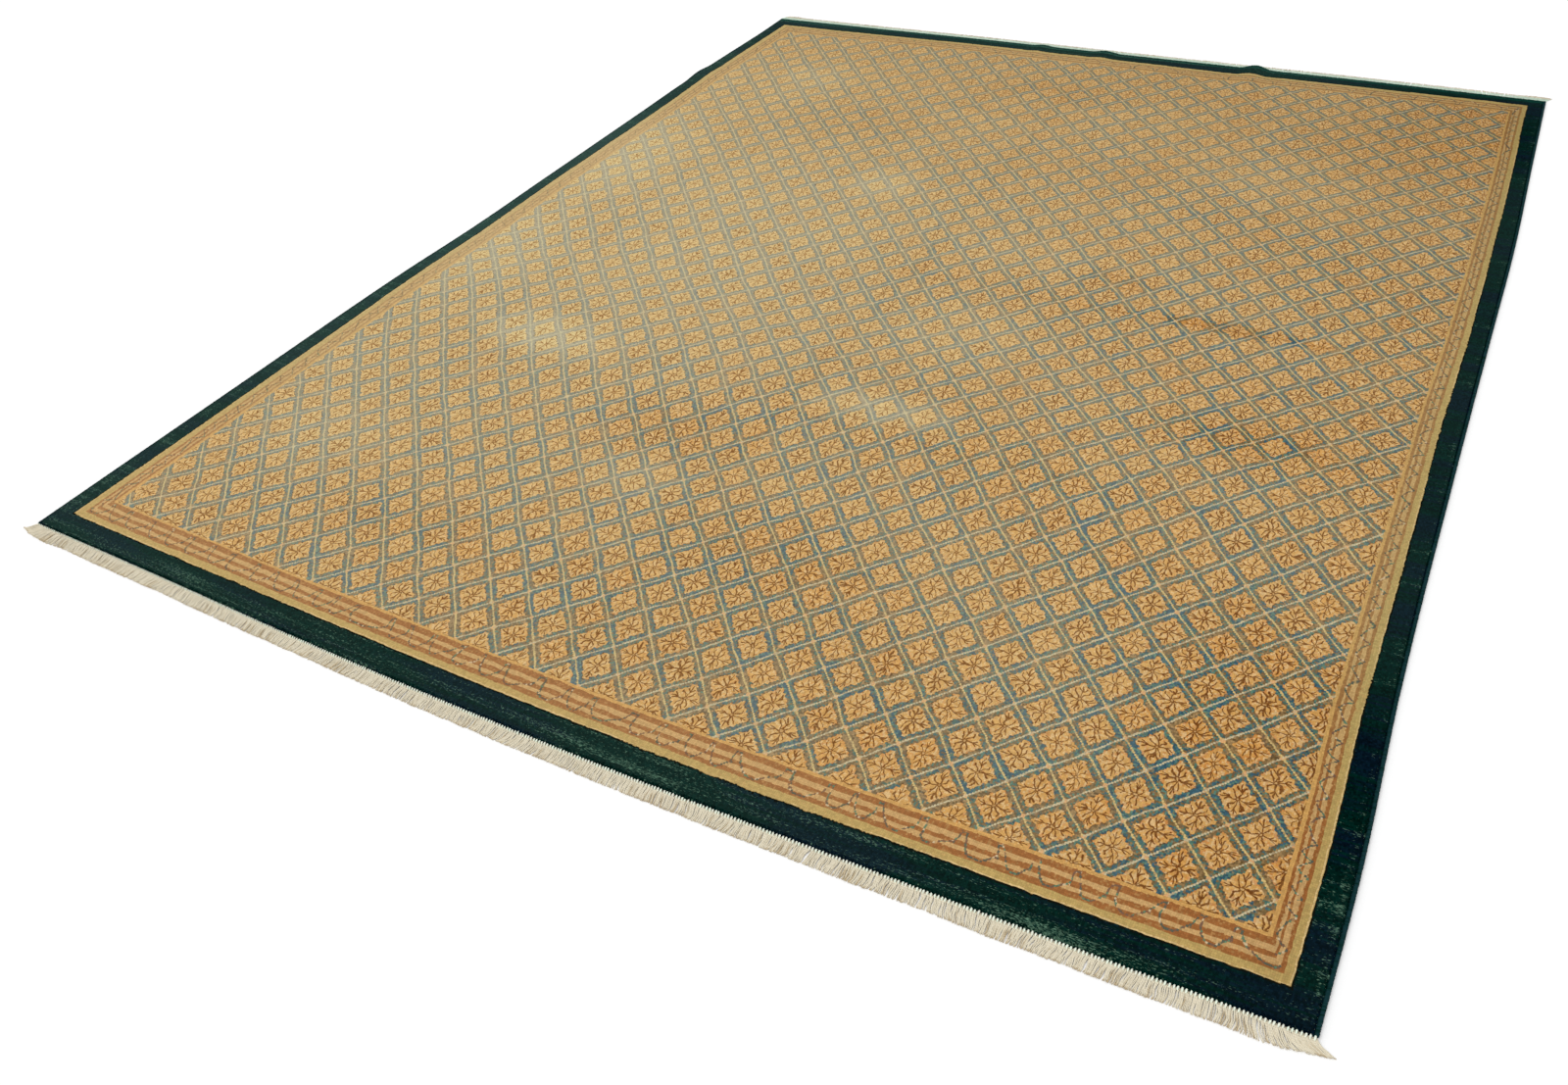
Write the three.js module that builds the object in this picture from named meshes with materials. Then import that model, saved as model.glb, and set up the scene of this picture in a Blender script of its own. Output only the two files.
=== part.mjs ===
// A hand-knotted Oushak rug that lies flat on a floor, with overcast side cords and a fringe at each end.
// Millimetres, +Z up, the floor at Z = 0. X runs along the fringed ends and Y along the rug.
// The origin is at the middle of the whole rug's box, on the floor.
import * as THREE from 'three';

// The rug
const RUG_WIDTH = 2440;
const RUG_LENGTH = 3105;
const RUG_THICKNESS = 8;
const PILE_EDGE_HEIGHT = 5.5;
const PILE_EDGE_ROUNDING = 2.5;
const PIECE_GAP = 0.3;

// The side cords
const CORD_WIDTH = 6;
const CORD_HEIGHT = 6.5;
const CORD_CORNER = 1.8;

// The end bands and the fringe
const BAND_WIDTH = 5;
const BAND_HEIGHT = 3;
const LOCKS_PER_END = 150;
const LOCK_GAP = 2.6;
const LOCK_TIP_HEIGHT = 1.6;
// Shares of a lock's width at its tip, of its lean over its root half and its tip half,
// and of the extra length that a lock laid flat along the end has
const TIP_WIDTH = 0.84;
const ROOT_LEAN = 0.8;
const TIP_LEAN = 1.15;
const EXTRA_LENGTH = 0.35;
// Turns the lock's number into a length that never repeats along the end
const LENGTH_STEP = 2.4;

// How far each edge swells out from the straight line between its corners.
// "at" is the share of the edge, from the near or the left end of it.
const NEAR_EDGE = [
  { at: 0, out: 0 },
  { at: 0.15, out: 9 },
  { at: 0.3, out: 20 },
  { at: 0.45, out: 26 },
  { at: 0.6, out: 25.5 },
  { at: 0.7, out: 21 },
  { at: 0.8, out: 15.5 },
  { at: 0.9, out: 9.5 },
  { at: 1, out: 0 },
];
const FAR_EDGE = [
  { at: 0, out: 5 },
  { at: 0.15, out: 8 },
  { at: 0.3, out: 13 },
  { at: 0.5, out: 12 },
  { at: 0.7, out: 13 },
  { at: 0.8, out: 14.5 },
  { at: 0.9, out: 11 },
  { at: 1, out: 7 },
];
const LEFT_EDGE = [
  { at: 0, out: 7.5 },
  { at: 0.15, out: 13 },
  { at: 0.35, out: 20 },
  { at: 0.44, out: 12 },
  { at: 0.55, out: 14.5 },
  { at: 0.7, out: 18.5 },
  { at: 0.8, out: 23 },
  { at: 0.88, out: 18 },
  { at: 0.95, out: 12 },
  { at: 1, out: 12.5 },
];
const RIGHT_EDGE = [
  { at: 0, out: 0 },
  { at: 0.09, out: 3.5 },
  { at: 0.2, out: -3 },
  { at: 0.4, out: -0.5 },
  { at: 0.55, out: 4 },
  { at: 0.7, out: 9 },
  { at: 0.85, out: 4.5 },
  { at: 1, out: 0 },
];

// Low ripples that lift an edge off the floor and fade out inwards.
// "across" is the ripple's width along its edge and "reach" its length into the rug.
const RIPPLES = [
  { edge: 'far', at: 0.4, rise: 4, across: 80, reach: 150 },
  { edge: 'far', at: 0.485, rise: 6, across: 100, reach: 190 },
  { edge: 'far', at: 0.677, rise: 11, across: 105, reach: 270 },
  { edge: 'left', at: 0.82, rise: 5, across: 170, reach: 150 },
];

// Each end's fringe: how long its locks are, how they sway, and how the last ones fan past the corners.
// Positive angles lean towards +X, in degrees.
const FRINGES = {
  near: { length: 28, unevenness: 1, sway: 9, swayWaves: 5.3, leftFan: -56, rightFan: 66, fanLocks: 6 },
  far: { length: 37, unevenness: 1.5, sway: 8, swayWaves: 4.1, leftFan: 12, rightFan: 34, fanLocks: 4 },
};

// Stations of the rug's grid
const COLUMN_STEPS = 16;
const ROW_STEPS = 14;
const RIPPLE_STEPS = 6;
const FADE_STEPS = 3;
const CLOSEST_STATIONS = 5;

const WOOL = { roughness: 0.95, metalness: 0 };
const pileMaterial = new THREE.MeshStandardMaterial({ color: 0xc8964e, ...WOOL });
const cordMaterial = new THREE.MeshStandardMaterial({ color: 0x10303c, ...WOOL });
const fringeMaterial = new THREE.MeshStandardMaterial({ color: 0xcfc3a4, ...WOOL });

// A smooth curve through the rows of an edge table
function edgeCurve(rows) {
  const places = rows.map((row) => row.at);
  const values = rows.map((row) => row.out);
  const curve = new THREE.CubicInterpolant(places, values, 1);
  return (at) => curve.evaluate(THREE.MathUtils.clamp(at, 0, 1))[0];
}

const nearOut = edgeCurve(NEAR_EDGE);
const farOut = edgeCurve(FAR_EDGE);
const leftOut = edgeCurve(LEFT_EDGE);
const rightOut = edgeCurve(RIGHT_EDGE);

// The rug's own plan: u and v are shares of its width and length, 0 to 1, at its outline.
// "inset" moves the two sides inwards, which leaves room for the side cords.
function planPoint(u, v, inset = 0) {
  const left = -leftOut(v) + inset;
  const right = RUG_WIDTH + rightOut(v) - inset;
  const near = -nearOut(u);
  const far = RUG_LENGTH + farOut(u);
  return new THREE.Vector2(THREE.MathUtils.lerp(left, right, u), THREE.MathUtils.lerp(near, far, v));
}

// How high the ripples lift the rug's underside at a place in its plan
function rippleLift(u, v) {
  let lift = 0;
  for (const ripple of RIPPLES) {
    const onFarEdge = ripple.edge === 'far';
    const along = onFarEdge ? (u - ripple.at) * RUG_WIDTH : (v - ripple.at) * RUG_LENGTH;
    const inwards = onFarEdge ? (1 - v) * RUG_LENGTH : u * RUG_WIDTH;
    const side = Math.abs(along) / (ripple.across / 2);
    const depth = inwards / ripple.reach;
    if (side < 1 && depth < 1) {
      lift += ripple.rise * 0.5 * (1 + Math.cos(Math.PI * side)) * (1 - depth) ** 2;
    }
  }
  return lift;
}

// Even stations from 0 to 1, with closer ones across the ripples of one edge
// and at the depths where the ripples of the other edge fade out.
function stations(steps, edge, size, fades) {
  const places = new Set(fades);
  for (let i = 0; i <= steps; i++) places.add(i / steps);
  for (const ripple of RIPPLES.filter((row) => row.edge === edge)) {
    for (let i = 0; i <= RIPPLE_STEPS; i++) {
      places.add(ripple.at + (i / RIPPLE_STEPS - 0.5) * (ripple.across / size));
    }
  }
  const sorted = [...places].sort((a, b) => a - b);
  return sorted.filter((place, i) => i === 0 || (place - sorted[i - 1]) * size > CLOSEST_STATIONS);
}

function fadeDepths(edge, size) {
  const reach = Math.max(...RIPPLES.filter((row) => row.edge === edge).map((row) => row.reach));
  return Array.from({ length: FADE_STEPS }, (_, i) => ((i + 1) / FADE_STEPS) * (reach / size));
}

const columns = stations(COLUMN_STEPS, 'far', RUG_WIDTH, fadeDepths('left', RUG_WIDTH));
const farFades = fadeDepths('far', RUG_LENGTH).map((depth) => 1 - depth);
const rows = stations(ROW_STEPS, 'left', RUG_LENGTH, farFades);

function meshGeometry(points, triangles) {
  const geometry = new THREE.BufferGeometry();
  geometry.setAttribute('position', new THREE.Float32BufferAttribute(points.flat(), 3));
  geometry.setIndex(triangles.flat());
  geometry.computeVertexNormals();
  return geometry;
}

// The knotted carpet: a flat slab with rounded pile edges, lifted where it ripples
function rugBodyGeometry() {
  const points = [];
  const triangles = [];
  const inset = CORD_WIDTH + PIECE_GAP;
  const across = columns.length;
  const along = rows.length;

  const layer = (height, rounding) => {
    const first = points.length;
    for (const v of rows) {
      for (const u of columns) {
        const place = planPoint(u, v, inset);
        const x = place.x + (u === 0 ? rounding : 0) - (u === 1 ? rounding : 0);
        const y = place.y + (v === 0 ? rounding : 0) - (v === 1 ? rounding : 0);
        points.push([x, y, height + rippleLift(u, v)]);
      }
    }
    return first;
  };
  const bottom = layer(0, 0);
  const top = layer(RUG_THICKNESS, PILE_EDGE_ROUNDING);

  for (let j = 0; j + 1 < along; j++) {
    for (let i = 0; i + 1 < across; i++) {
      const a = j * across + i;
      const b = a + 1;
      const c = a + across + 1;
      const d = a + across;
      triangles.push([top + a, top + b, top + c], [top + a, top + c, top + d]);
      triangles.push([bottom + a, bottom + c, bottom + b], [bottom + a, bottom + d, bottom + c]);
    }
  }

  // The rim, anticlockwise from above: underside, pile edge, top
  const rim = [];
  for (let i = 0; i + 1 < across; i++) rim.push(i);
  for (let j = 0; j + 1 < along; j++) rim.push(j * across + across - 1);
  for (let i = across - 1; i > 0; i--) rim.push((along - 1) * across + i);
  for (let j = along - 1; j > 0; j--) rim.push(j * across);
  const edge = points.length;
  for (const place of rim) {
    const [x, y, z] = points[bottom + place];
    points.push([x, y, z + PILE_EDGE_HEIGHT]);
  }
  rim.forEach((place, i) => {
    const next = (i + 1) % rim.length;
    triangles.push([bottom + place, bottom + rim[next], edge + next]);
    triangles.push([bottom + place, edge + next, edge + i]);
    triangles.push([edge + i, edge + next, top + rim[next]]);
    triangles.push([edge + i, top + rim[next], top + place]);
  });
  return meshGeometry(points, triangles);
}

// A side cord: a round-cornered bar that follows the rug's side, flat on the floor
function sideCordGeometry(side) {
  const halfWidth = CORD_WIDTH / 2;
  const section = [
    [-halfWidth + CORD_CORNER, 0],
    [halfWidth - CORD_CORNER, 0],
    [halfWidth, CORD_CORNER],
    [halfWidth, CORD_HEIGHT - CORD_CORNER],
    [halfWidth - CORD_CORNER, CORD_HEIGHT],
    [-halfWidth + CORD_CORNER, CORD_HEIGHT],
    [-halfWidth, CORD_HEIGHT - CORD_CORNER],
    [-halfWidth, CORD_CORNER],
  ];
  const u = side === 'left' ? 0 : 1;
  const sides = section.length;
  const points = [];
  const triangles = [];
  for (const v of rows) {
    const middle = planPoint(u, v, halfWidth);
    for (const [out, up] of section) points.push([middle.x + out, middle.y, up + rippleLift(u, v)]);
  }
  for (let j = 0; j + 1 < rows.length; j++) {
    for (let i = 0; i < sides; i++) {
      const a = j * sides + i;
      const b = j * sides + ((i + 1) % sides);
      triangles.push([a, b + sides, b], [a, a + sides, b + sides]);
    }
  }
  const last = (rows.length - 1) * sides;
  for (let i = 1; i + 1 < sides; i++) {
    triangles.push([0, i, i + 1]);
    triangles.push([last, last + i + 1, last + i]);
  }
  return meshGeometry(points, triangles);
}

// How a lock leans: a slow sway along the end, and a fan over the last locks at each corner
function lockLean(fringe, index) {
  const share = (index + 0.5) / LOCKS_PER_END;
  const sway = fringe.sway * Math.sin(2 * Math.PI * fringe.swayWaves * share);
  const fromLeft = Math.max(0, 1 - index / fringe.fanLocks);
  const fromRight = Math.max(0, 1 - (LOCKS_PER_END - 1 - index) / fringe.fanLocks);
  const settled = 1 - Math.max(fromLeft, fromRight);
  return THREE.MathUtils.degToRad(sway * settled + fringe.leftFan * fromLeft + fringe.rightFan * fromRight);
}

// One end's fringe: a comb of a narrow band and its locks, drawn in plan with the locks pointing out
// and raised from the floor, or from the ripples under its band
function fringeGeometry(end) {
  const fringe = FRINGES[end];
  const outwards = end === 'near' ? -1 : 1;
  const v = end === 'near' ? 0 : 1;
  const pitch = RUG_WIDTH / LOCKS_PER_END;
  const edgePoint = (u, out) => planPoint(u, v).add(new THREE.Vector2(0, outwards * out));

  const bandPoint = (u) => ({ place: edgePoint(u, PIECE_GAP + BAND_WIDTH), u, down: 0 });
  const inner = columns.map((u) => ({ place: edgePoint(u, PIECE_GAP), u, down: 0 }));
  const outer = [];
  const rootHalf = (pitch - LOCK_GAP) / 2 / RUG_WIDTH;
  for (let i = 0; i < LOCKS_PER_END; i++) {
    const u = (i + 0.5) / LOCKS_PER_END;
    const lean = lockLean(fringe, i);
    const extra = 1 + EXTRA_LENGTH * Math.sin(lean) ** 2;
    const half = (fringe.length * extra + fringe.unevenness * Math.sin(i * LENGTH_STEP)) / 2;
    const onwards = (turn) => new THREE.Vector2(Math.sin(lean * turn), outwards * Math.cos(lean * turn));
    const across = new THREE.Vector2(Math.cos(lean), -outwards * Math.sin(lean));
    const middle = bandPoint(u).place.addScaledVector(onwards(ROOT_LEAN), half);
    const tip = middle.clone().addScaledVector(onwards(TIP_LEAN), half);
    const middleHalf = (pitch * Math.cos(lean) - LOCK_GAP) / 2;
    const tipHalf = middleHalf * TIP_WIDTH;
    outer.push(bandPoint(u - rootHalf));
    outer.push({ place: middle.clone().addScaledVector(across, -middleHalf), u, down: 0.5 });
    outer.push({ place: tip.clone().addScaledVector(across, -tipHalf), u, down: 1 });
    outer.push({ place: tip.clone().addScaledVector(across, tipHalf), u, down: 1 });
    outer.push({ place: middle.clone().addScaledVector(across, middleHalf), u, down: 0.5 });
    outer.push(bandPoint(u + rootHalf));
  }
  const outline = [...inner, bandPoint(1), ...outer.reverse(), bandPoint(0)];
  if (end === 'near') outline.reverse();
  return combSolid(outline, v);
}

// A solid over a flat outline, with each corner's own underside and height
function combSolid(outline, v) {
  const count = outline.length;
  const bottom = outline.map(({ place, u, down }) => [place.x, place.y, rippleLift(u, v) * (1 - down)]);
  const top = bottom.map(([x, y, z], i) => {
    const height = THREE.MathUtils.lerp(BAND_HEIGHT, LOCK_TIP_HEIGHT, outline[i].down);
    return [x, y, z + height];
  });
  const triangles = [];
  const flat = outline.map(({ place }) => place);
  for (const [a, b, c] of THREE.ShapeUtils.triangulateShape(flat, [])) {
    triangles.push([a, c, b], [count + a, count + b, count + c]);
  }
  for (let i = 0; i < count; i++) {
    const next = (i + 1) % count;
    triangles.push([i, next, count + next], [i, count + next, count + i]);
  }
  return meshGeometry([...bottom, ...top], triangles);
}

function namedMesh(name, geometry, material) {
  const mesh = new THREE.Mesh(geometry, material);
  mesh.name = name;
  return mesh;
}

const rug = new THREE.Group();
rug.add(namedMesh('rug_body', rugBodyGeometry(), pileMaterial));
rug.add(namedMesh('selvedge_left', sideCordGeometry('left'), cordMaterial));
rug.add(namedMesh('selvedge_right', sideCordGeometry('right'), cordMaterial));
rug.add(namedMesh('fringe_near', fringeGeometry('near'), fringeMaterial));
rug.add(namedMesh('fringe_far', fringeGeometry('far'), fringeMaterial));

const middle = new THREE.Box3().setFromObject(rug).getCenter(new THREE.Vector3());
rug.position.set(-middle.x, -middle.y, 0);

export default rug;
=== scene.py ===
"""A hand-knotted Oushak rug laid flat on a pale floor.

A gold field of florets in a blue lattice lies inside striped guards and a dark green border. The sides
are overcast with navy wool, and each end has a row of white whip stitches and a cream fringe. Lengths are
in metres unless mm is said, +Z is up, and the floor is at Z = 0.
"""

import math

import bmesh
import bpy
import numpy as np
from mathutils import Matrix, Vector


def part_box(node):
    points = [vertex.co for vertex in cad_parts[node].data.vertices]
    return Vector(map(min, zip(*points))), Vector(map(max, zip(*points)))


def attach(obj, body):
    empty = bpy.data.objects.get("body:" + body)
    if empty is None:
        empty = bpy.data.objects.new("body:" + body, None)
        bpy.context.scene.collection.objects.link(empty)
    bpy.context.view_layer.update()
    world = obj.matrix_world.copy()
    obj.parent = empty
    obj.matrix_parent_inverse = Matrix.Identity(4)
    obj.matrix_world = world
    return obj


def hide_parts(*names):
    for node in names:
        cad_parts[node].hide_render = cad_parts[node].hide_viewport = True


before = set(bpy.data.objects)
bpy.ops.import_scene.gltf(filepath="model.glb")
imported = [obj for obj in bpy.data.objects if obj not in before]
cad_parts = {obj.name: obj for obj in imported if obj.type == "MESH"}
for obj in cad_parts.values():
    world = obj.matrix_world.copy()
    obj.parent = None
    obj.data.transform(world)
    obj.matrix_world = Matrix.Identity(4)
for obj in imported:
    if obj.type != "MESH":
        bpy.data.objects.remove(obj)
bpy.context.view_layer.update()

bl_info = {
    "name": "Oushak rug",
    "version": (1, 0, 0),
    "blender": (4, 5, 0),
    "location": "3D View > Sidebar > Rug",
    "description": "Dresses the packed rug in its knotted pile, overcast sides, stitched ends and fringe",
    "category": "Object",
}

MM = 0.001

# How far each edge swells out from the straight line between its corners, in mm. Each row is the share of
# the edge, from its near or its left end, and the swell there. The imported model's edges have the same rows.
NEAR_EDGE = [
    (0, 0), (0.15, 9), (0.3, 20), (0.45, 26), (0.6, 25.5), (0.7, 21), (0.8, 15.5), (0.9, 9.5), (1, 0),
]
FAR_EDGE = [(0, 5), (0.15, 8), (0.3, 13), (0.5, 12), (0.7, 13), (0.8, 14.5), (0.9, 11), (1, 7)]
LEFT_EDGE = [
    (0, 7.5), (0.15, 13), (0.35, 20), (0.44, 12), (0.55, 14.5),
    (0.7, 18.5), (0.8, 23), (0.88, 18), (0.95, 12), (1, 12.5),
]
RIGHT_EDGE = [(0, 0), (0.09, 3.5), (0.2, -3), (0.4, -0.5), (0.55, 4), (0.7, 9), (0.85, 4.5), (1, 0)]

# Low ripples that lift an edge off the floor and fade out inwards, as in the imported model. Each row is the
# edge, the ripple's place along it, and its rise, its width and its length into the rug in mm.
RIPPLES = [
    ("far", 0.4, 4, 80, 150),
    ("far", 0.485, 6, 100, 190),
    ("far", 0.677, 11, 105, 270),
    ("left", 0.82, 5, 170, 150),
]

# Each end's fringe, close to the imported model's: how far its strands reach in mm, how far and in how many
# waves they sway, how far the last ones fan past the corners, and how wide a fan is in mm. Angles are in
# degrees, and positive ones lean towards +X.
FRINGES = {
    "near": {"reach": 28, "sway": 9, "sway_waves": 5.3, "left_fan": -56, "right_fan": 66, "fan_width": 98},
    "far": {"reach": 37, "sway": 8, "sway_waves": 4.1, "left_fan": 12, "right_fan": 26, "fan_width": 65},
}

# Colours are written as they look on screen, 0 to 255, and turned to the values that the shaders need.


def dye(red, green, blue):
    """A colour on screen as shader values."""
    shares = [c / 255 for c in (red, green, blue)]
    return tuple(s / 12.92 if s <= 0.04045 else ((s + 0.055) / 1.055) ** 2.4 for s in shares)


def near_corner(node, pick):
    """The X of a side cord's outer face at its near end."""
    places = [v.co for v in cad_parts[node].data.vertices]
    near = min(place.y for place in places)
    return pick(place.x for place in places if place.y < near + 0.5 * MM)


# The plan's corner at the near left, and the width and length between the corners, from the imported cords
LEFT_X = near_corner("selvedge_left", min) + LEFT_EDGE[0][1] * MM
NEAR_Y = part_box("selvedge_left")[0].y
PACKED_WIDTH = near_corner("selvedge_right", max) - LEFT_X
PACKED_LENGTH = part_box("selvedge_left")[1].y - NEAR_Y - FAR_EDGE[0][1] * MM


def length_property(name, description, default):
    return bpy.props.FloatProperty(
        name=name, description=description, default=default,
        subtype="DISTANCE", unit="LENGTH", precision=5,
    )


def colour_property(name, description, default):
    return bpy.props.FloatVectorProperty(
        name=name, description=description, default=default, subtype="COLOR", size=3, min=0, max=1
    )


class RugSizes(bpy.types.PropertyGroup):
    """The rug's sizes."""

    width: length_property("Width", "From side to side between the corners", PACKED_WIDTH)
    length: length_property("Length", "From end to end between the corners", PACKED_LENGTH)
    thickness: length_property("Thickness", "Foundation and pile together", 0.008)
    knot_across: length_property("Knot width", "One knot across the rug", 0.0031)
    knot_along: length_property("Knot height", "One knot along the rug", 0.0036)
    cell_across: length_property("Lattice cell width", "One diamond of the lattice across the rug", 0.087)
    cell_along: length_property("Lattice cell length", "One diamond of the lattice along the rug", 0.1006)
    cord_width: length_property("Side cord width", "The overcast cord along each side", 0.006)
    cord_height: length_property("Side cord height", "The overcast cord along each side", 0.0065)
    stitch_pitch: length_property("Stitch spacing", "From one whip stitch to the next", 0.0053)
    strand_width: length_property("Strand thickness", "One fringe strand", 0.0018)


class RugColours(bpy.types.PropertyGroup):
    """The wool's and cotton's colours."""

    gold: colour_property("Gold", "The florets' ground", dye(205, 157, 90))
    brown: colour_property("Brown", "The strokes inside the florets", dye(106, 58, 20))
    umber: colour_property("Umber", "The florets' outline", dye(96, 68, 44))
    line: colour_property("Lattice line", "The thin line along the lattice", dye(208, 180, 118))
    teal: colour_property("Teal", "Greener knots of the lattice bands", dye(86, 124, 106))
    slate: colour_property("Slate", "Bluer knots of the lattice bands", dye(76, 108, 104))
    mauve: colour_property("Mauve", "Faded knots of the lattice bands", dye(122, 98, 74))
    tan: colour_property("Tan", "The palest knots of the lattice bands", dye(146, 118, 78))
    rust: colour_property("Rust", "The dark stripes of the guards", dye(153, 96, 50))
    straw: colour_property("Straw", "The pale stripes of the guards", dye(198, 158, 104))
    guard: colour_property("Guard", "The wide outer guard", dye(184, 156, 94))
    green: colour_property("Border green", "The dark border", dye(0, 29, 24))
    navy: colour_property("Border navy", "The border's bluer dye lots", dye(4, 19, 31))
    # Border fleck: the colour of lighter knots and of painted glints on knot tips
    moss: colour_property("Border fleck", "The border's lighter knots", dye(86, 118, 98))
    cream: colour_property("Fringe cream", "The fringe strands", dye(220, 211, 188))
    mint: colour_property("Fringe root", "The far fringe beside the stitches", dye(196, 218, 200))
    white: colour_property("Stitch white", "The whip stitches", dye(234, 236, 222))
    overcast: colour_property("Overcast navy", "The wool wrapped round the sides", dye(24, 60, 66))
    # The florets' paler ground, laid where fading from use and painted sheen pale the pile
    sheen_faded: colour_property("Faded gold", "The florets' ground where the pile is worn", dye(216, 194, 140))
    floor: colour_property("Floor", "The studio floor", dye(246, 246, 246))


def sizes():
    return bpy.context.scene.rug_sizes


def colours():
    return bpy.context.scene.rug_colours


# The rug's plan


def edge_curve(rows):
    """A smooth curve through rows of share and mm, whose slope at a row is the mean of both sides'."""
    at, out = np.array(rows, float).T
    secants = np.diff(out) / np.diff(at)
    slopes = np.concatenate([secants[:1], (secants[1:] + secants[:-1]) / 2, secants[-1:]])

    def curve(share):
        share = np.clip(share, 0, 1)
        i = np.clip(np.searchsorted(at, share, side="right") - 1, 0, len(at) - 2)
        step = at[i + 1] - at[i]
        p = (share - at[i]) / step
        start = (1 + 2 * p) * (1 - p) ** 2 * out[i] + p * (1 - p) ** 2 * step * slopes[i]
        end = p**2 * (3 - 2 * p) * out[i + 1] + p**2 * (p - 1) * step * slopes[i + 1]
        return (start + end) * MM

    return curve


def plan_place(u, v, inset=0.0):
    """X and Y at shares u of the width and v of the length. The sides move in by inset."""
    left = inset - edge_curve(LEFT_EDGE)(v)
    right = sizes().width + edge_curve(RIGHT_EDGE)(v) - inset
    near = -edge_curve(NEAR_EDGE)(u)
    far = sizes().length + edge_curve(FAR_EDGE)(u)
    return LEFT_X + left + (right - left) * u, NEAR_Y + near + (far - near) * v


WAVE_RISE = 1.2 * MM


def floor_lift(u, v):
    """How high the underside is off the floor: its ripples, and slow waves that never reach the floor."""
    slow = 2 + np.sin(7.3 * u + 4.1 * v + 0.4) + np.sin(5.2 * u - 9.7 * v + 2.1)
    close = 1 + np.sin(17 * u + 3.1 * np.sin(11 * v)) * np.sin(21 * v + 2.3 * np.sin(9 * u))
    lift = WAVE_RISE * (slow / 4 + close / 6)
    for edge, at, rise, across, reach in RIPPLES:
        on_far_edge = edge == "far"
        along = (u - at) * sizes().width if on_far_edge else (v - at) * sizes().length
        inwards = (1 - v) * sizes().length if on_far_edge else u * sizes().width
        side = np.minimum(np.abs(along) / (across * MM / 2), 1)
        depth = np.minimum(inwards / (reach * MM), 1)
        lift = lift + rise * MM * 0.5 * (1 + np.cos(np.pi * side)) * (1 - depth) ** 2
    return lift


# Materials. A pattern is written as sums of terms, and each sum becomes a node.


class Term:
    """A number that a material works out at each point."""

    def __init__(self, chart, socket):
        self.chart = chart
        self.socket = socket

    def __add__(self, other):
        return self.chart.sum("ADD", self, other)

    __radd__ = __add__

    def __sub__(self, other):
        return self.chart.sum("SUBTRACT", self, other)

    def __rsub__(self, other):
        return self.chart.sum("SUBTRACT", other, self)

    def __mul__(self, other):
        return self.chart.sum("MULTIPLY", self, other)

    __rmul__ = __mul__

    def __truediv__(self, other):
        return self.chart.sum("DIVIDE", self, other)

    def __abs__(self):
        return self.chart.sum("ABSOLUTE", self)

    def floor(self):
        return self.chart.sum("FLOOR", self)

    def fraction(self):
        return self.chart.sum("FRACT", self)

    def to_nearest(self):
        """The distance to the nearest whole number."""
        return self.chart.sum("PINGPONG", self, 0.5)


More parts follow.
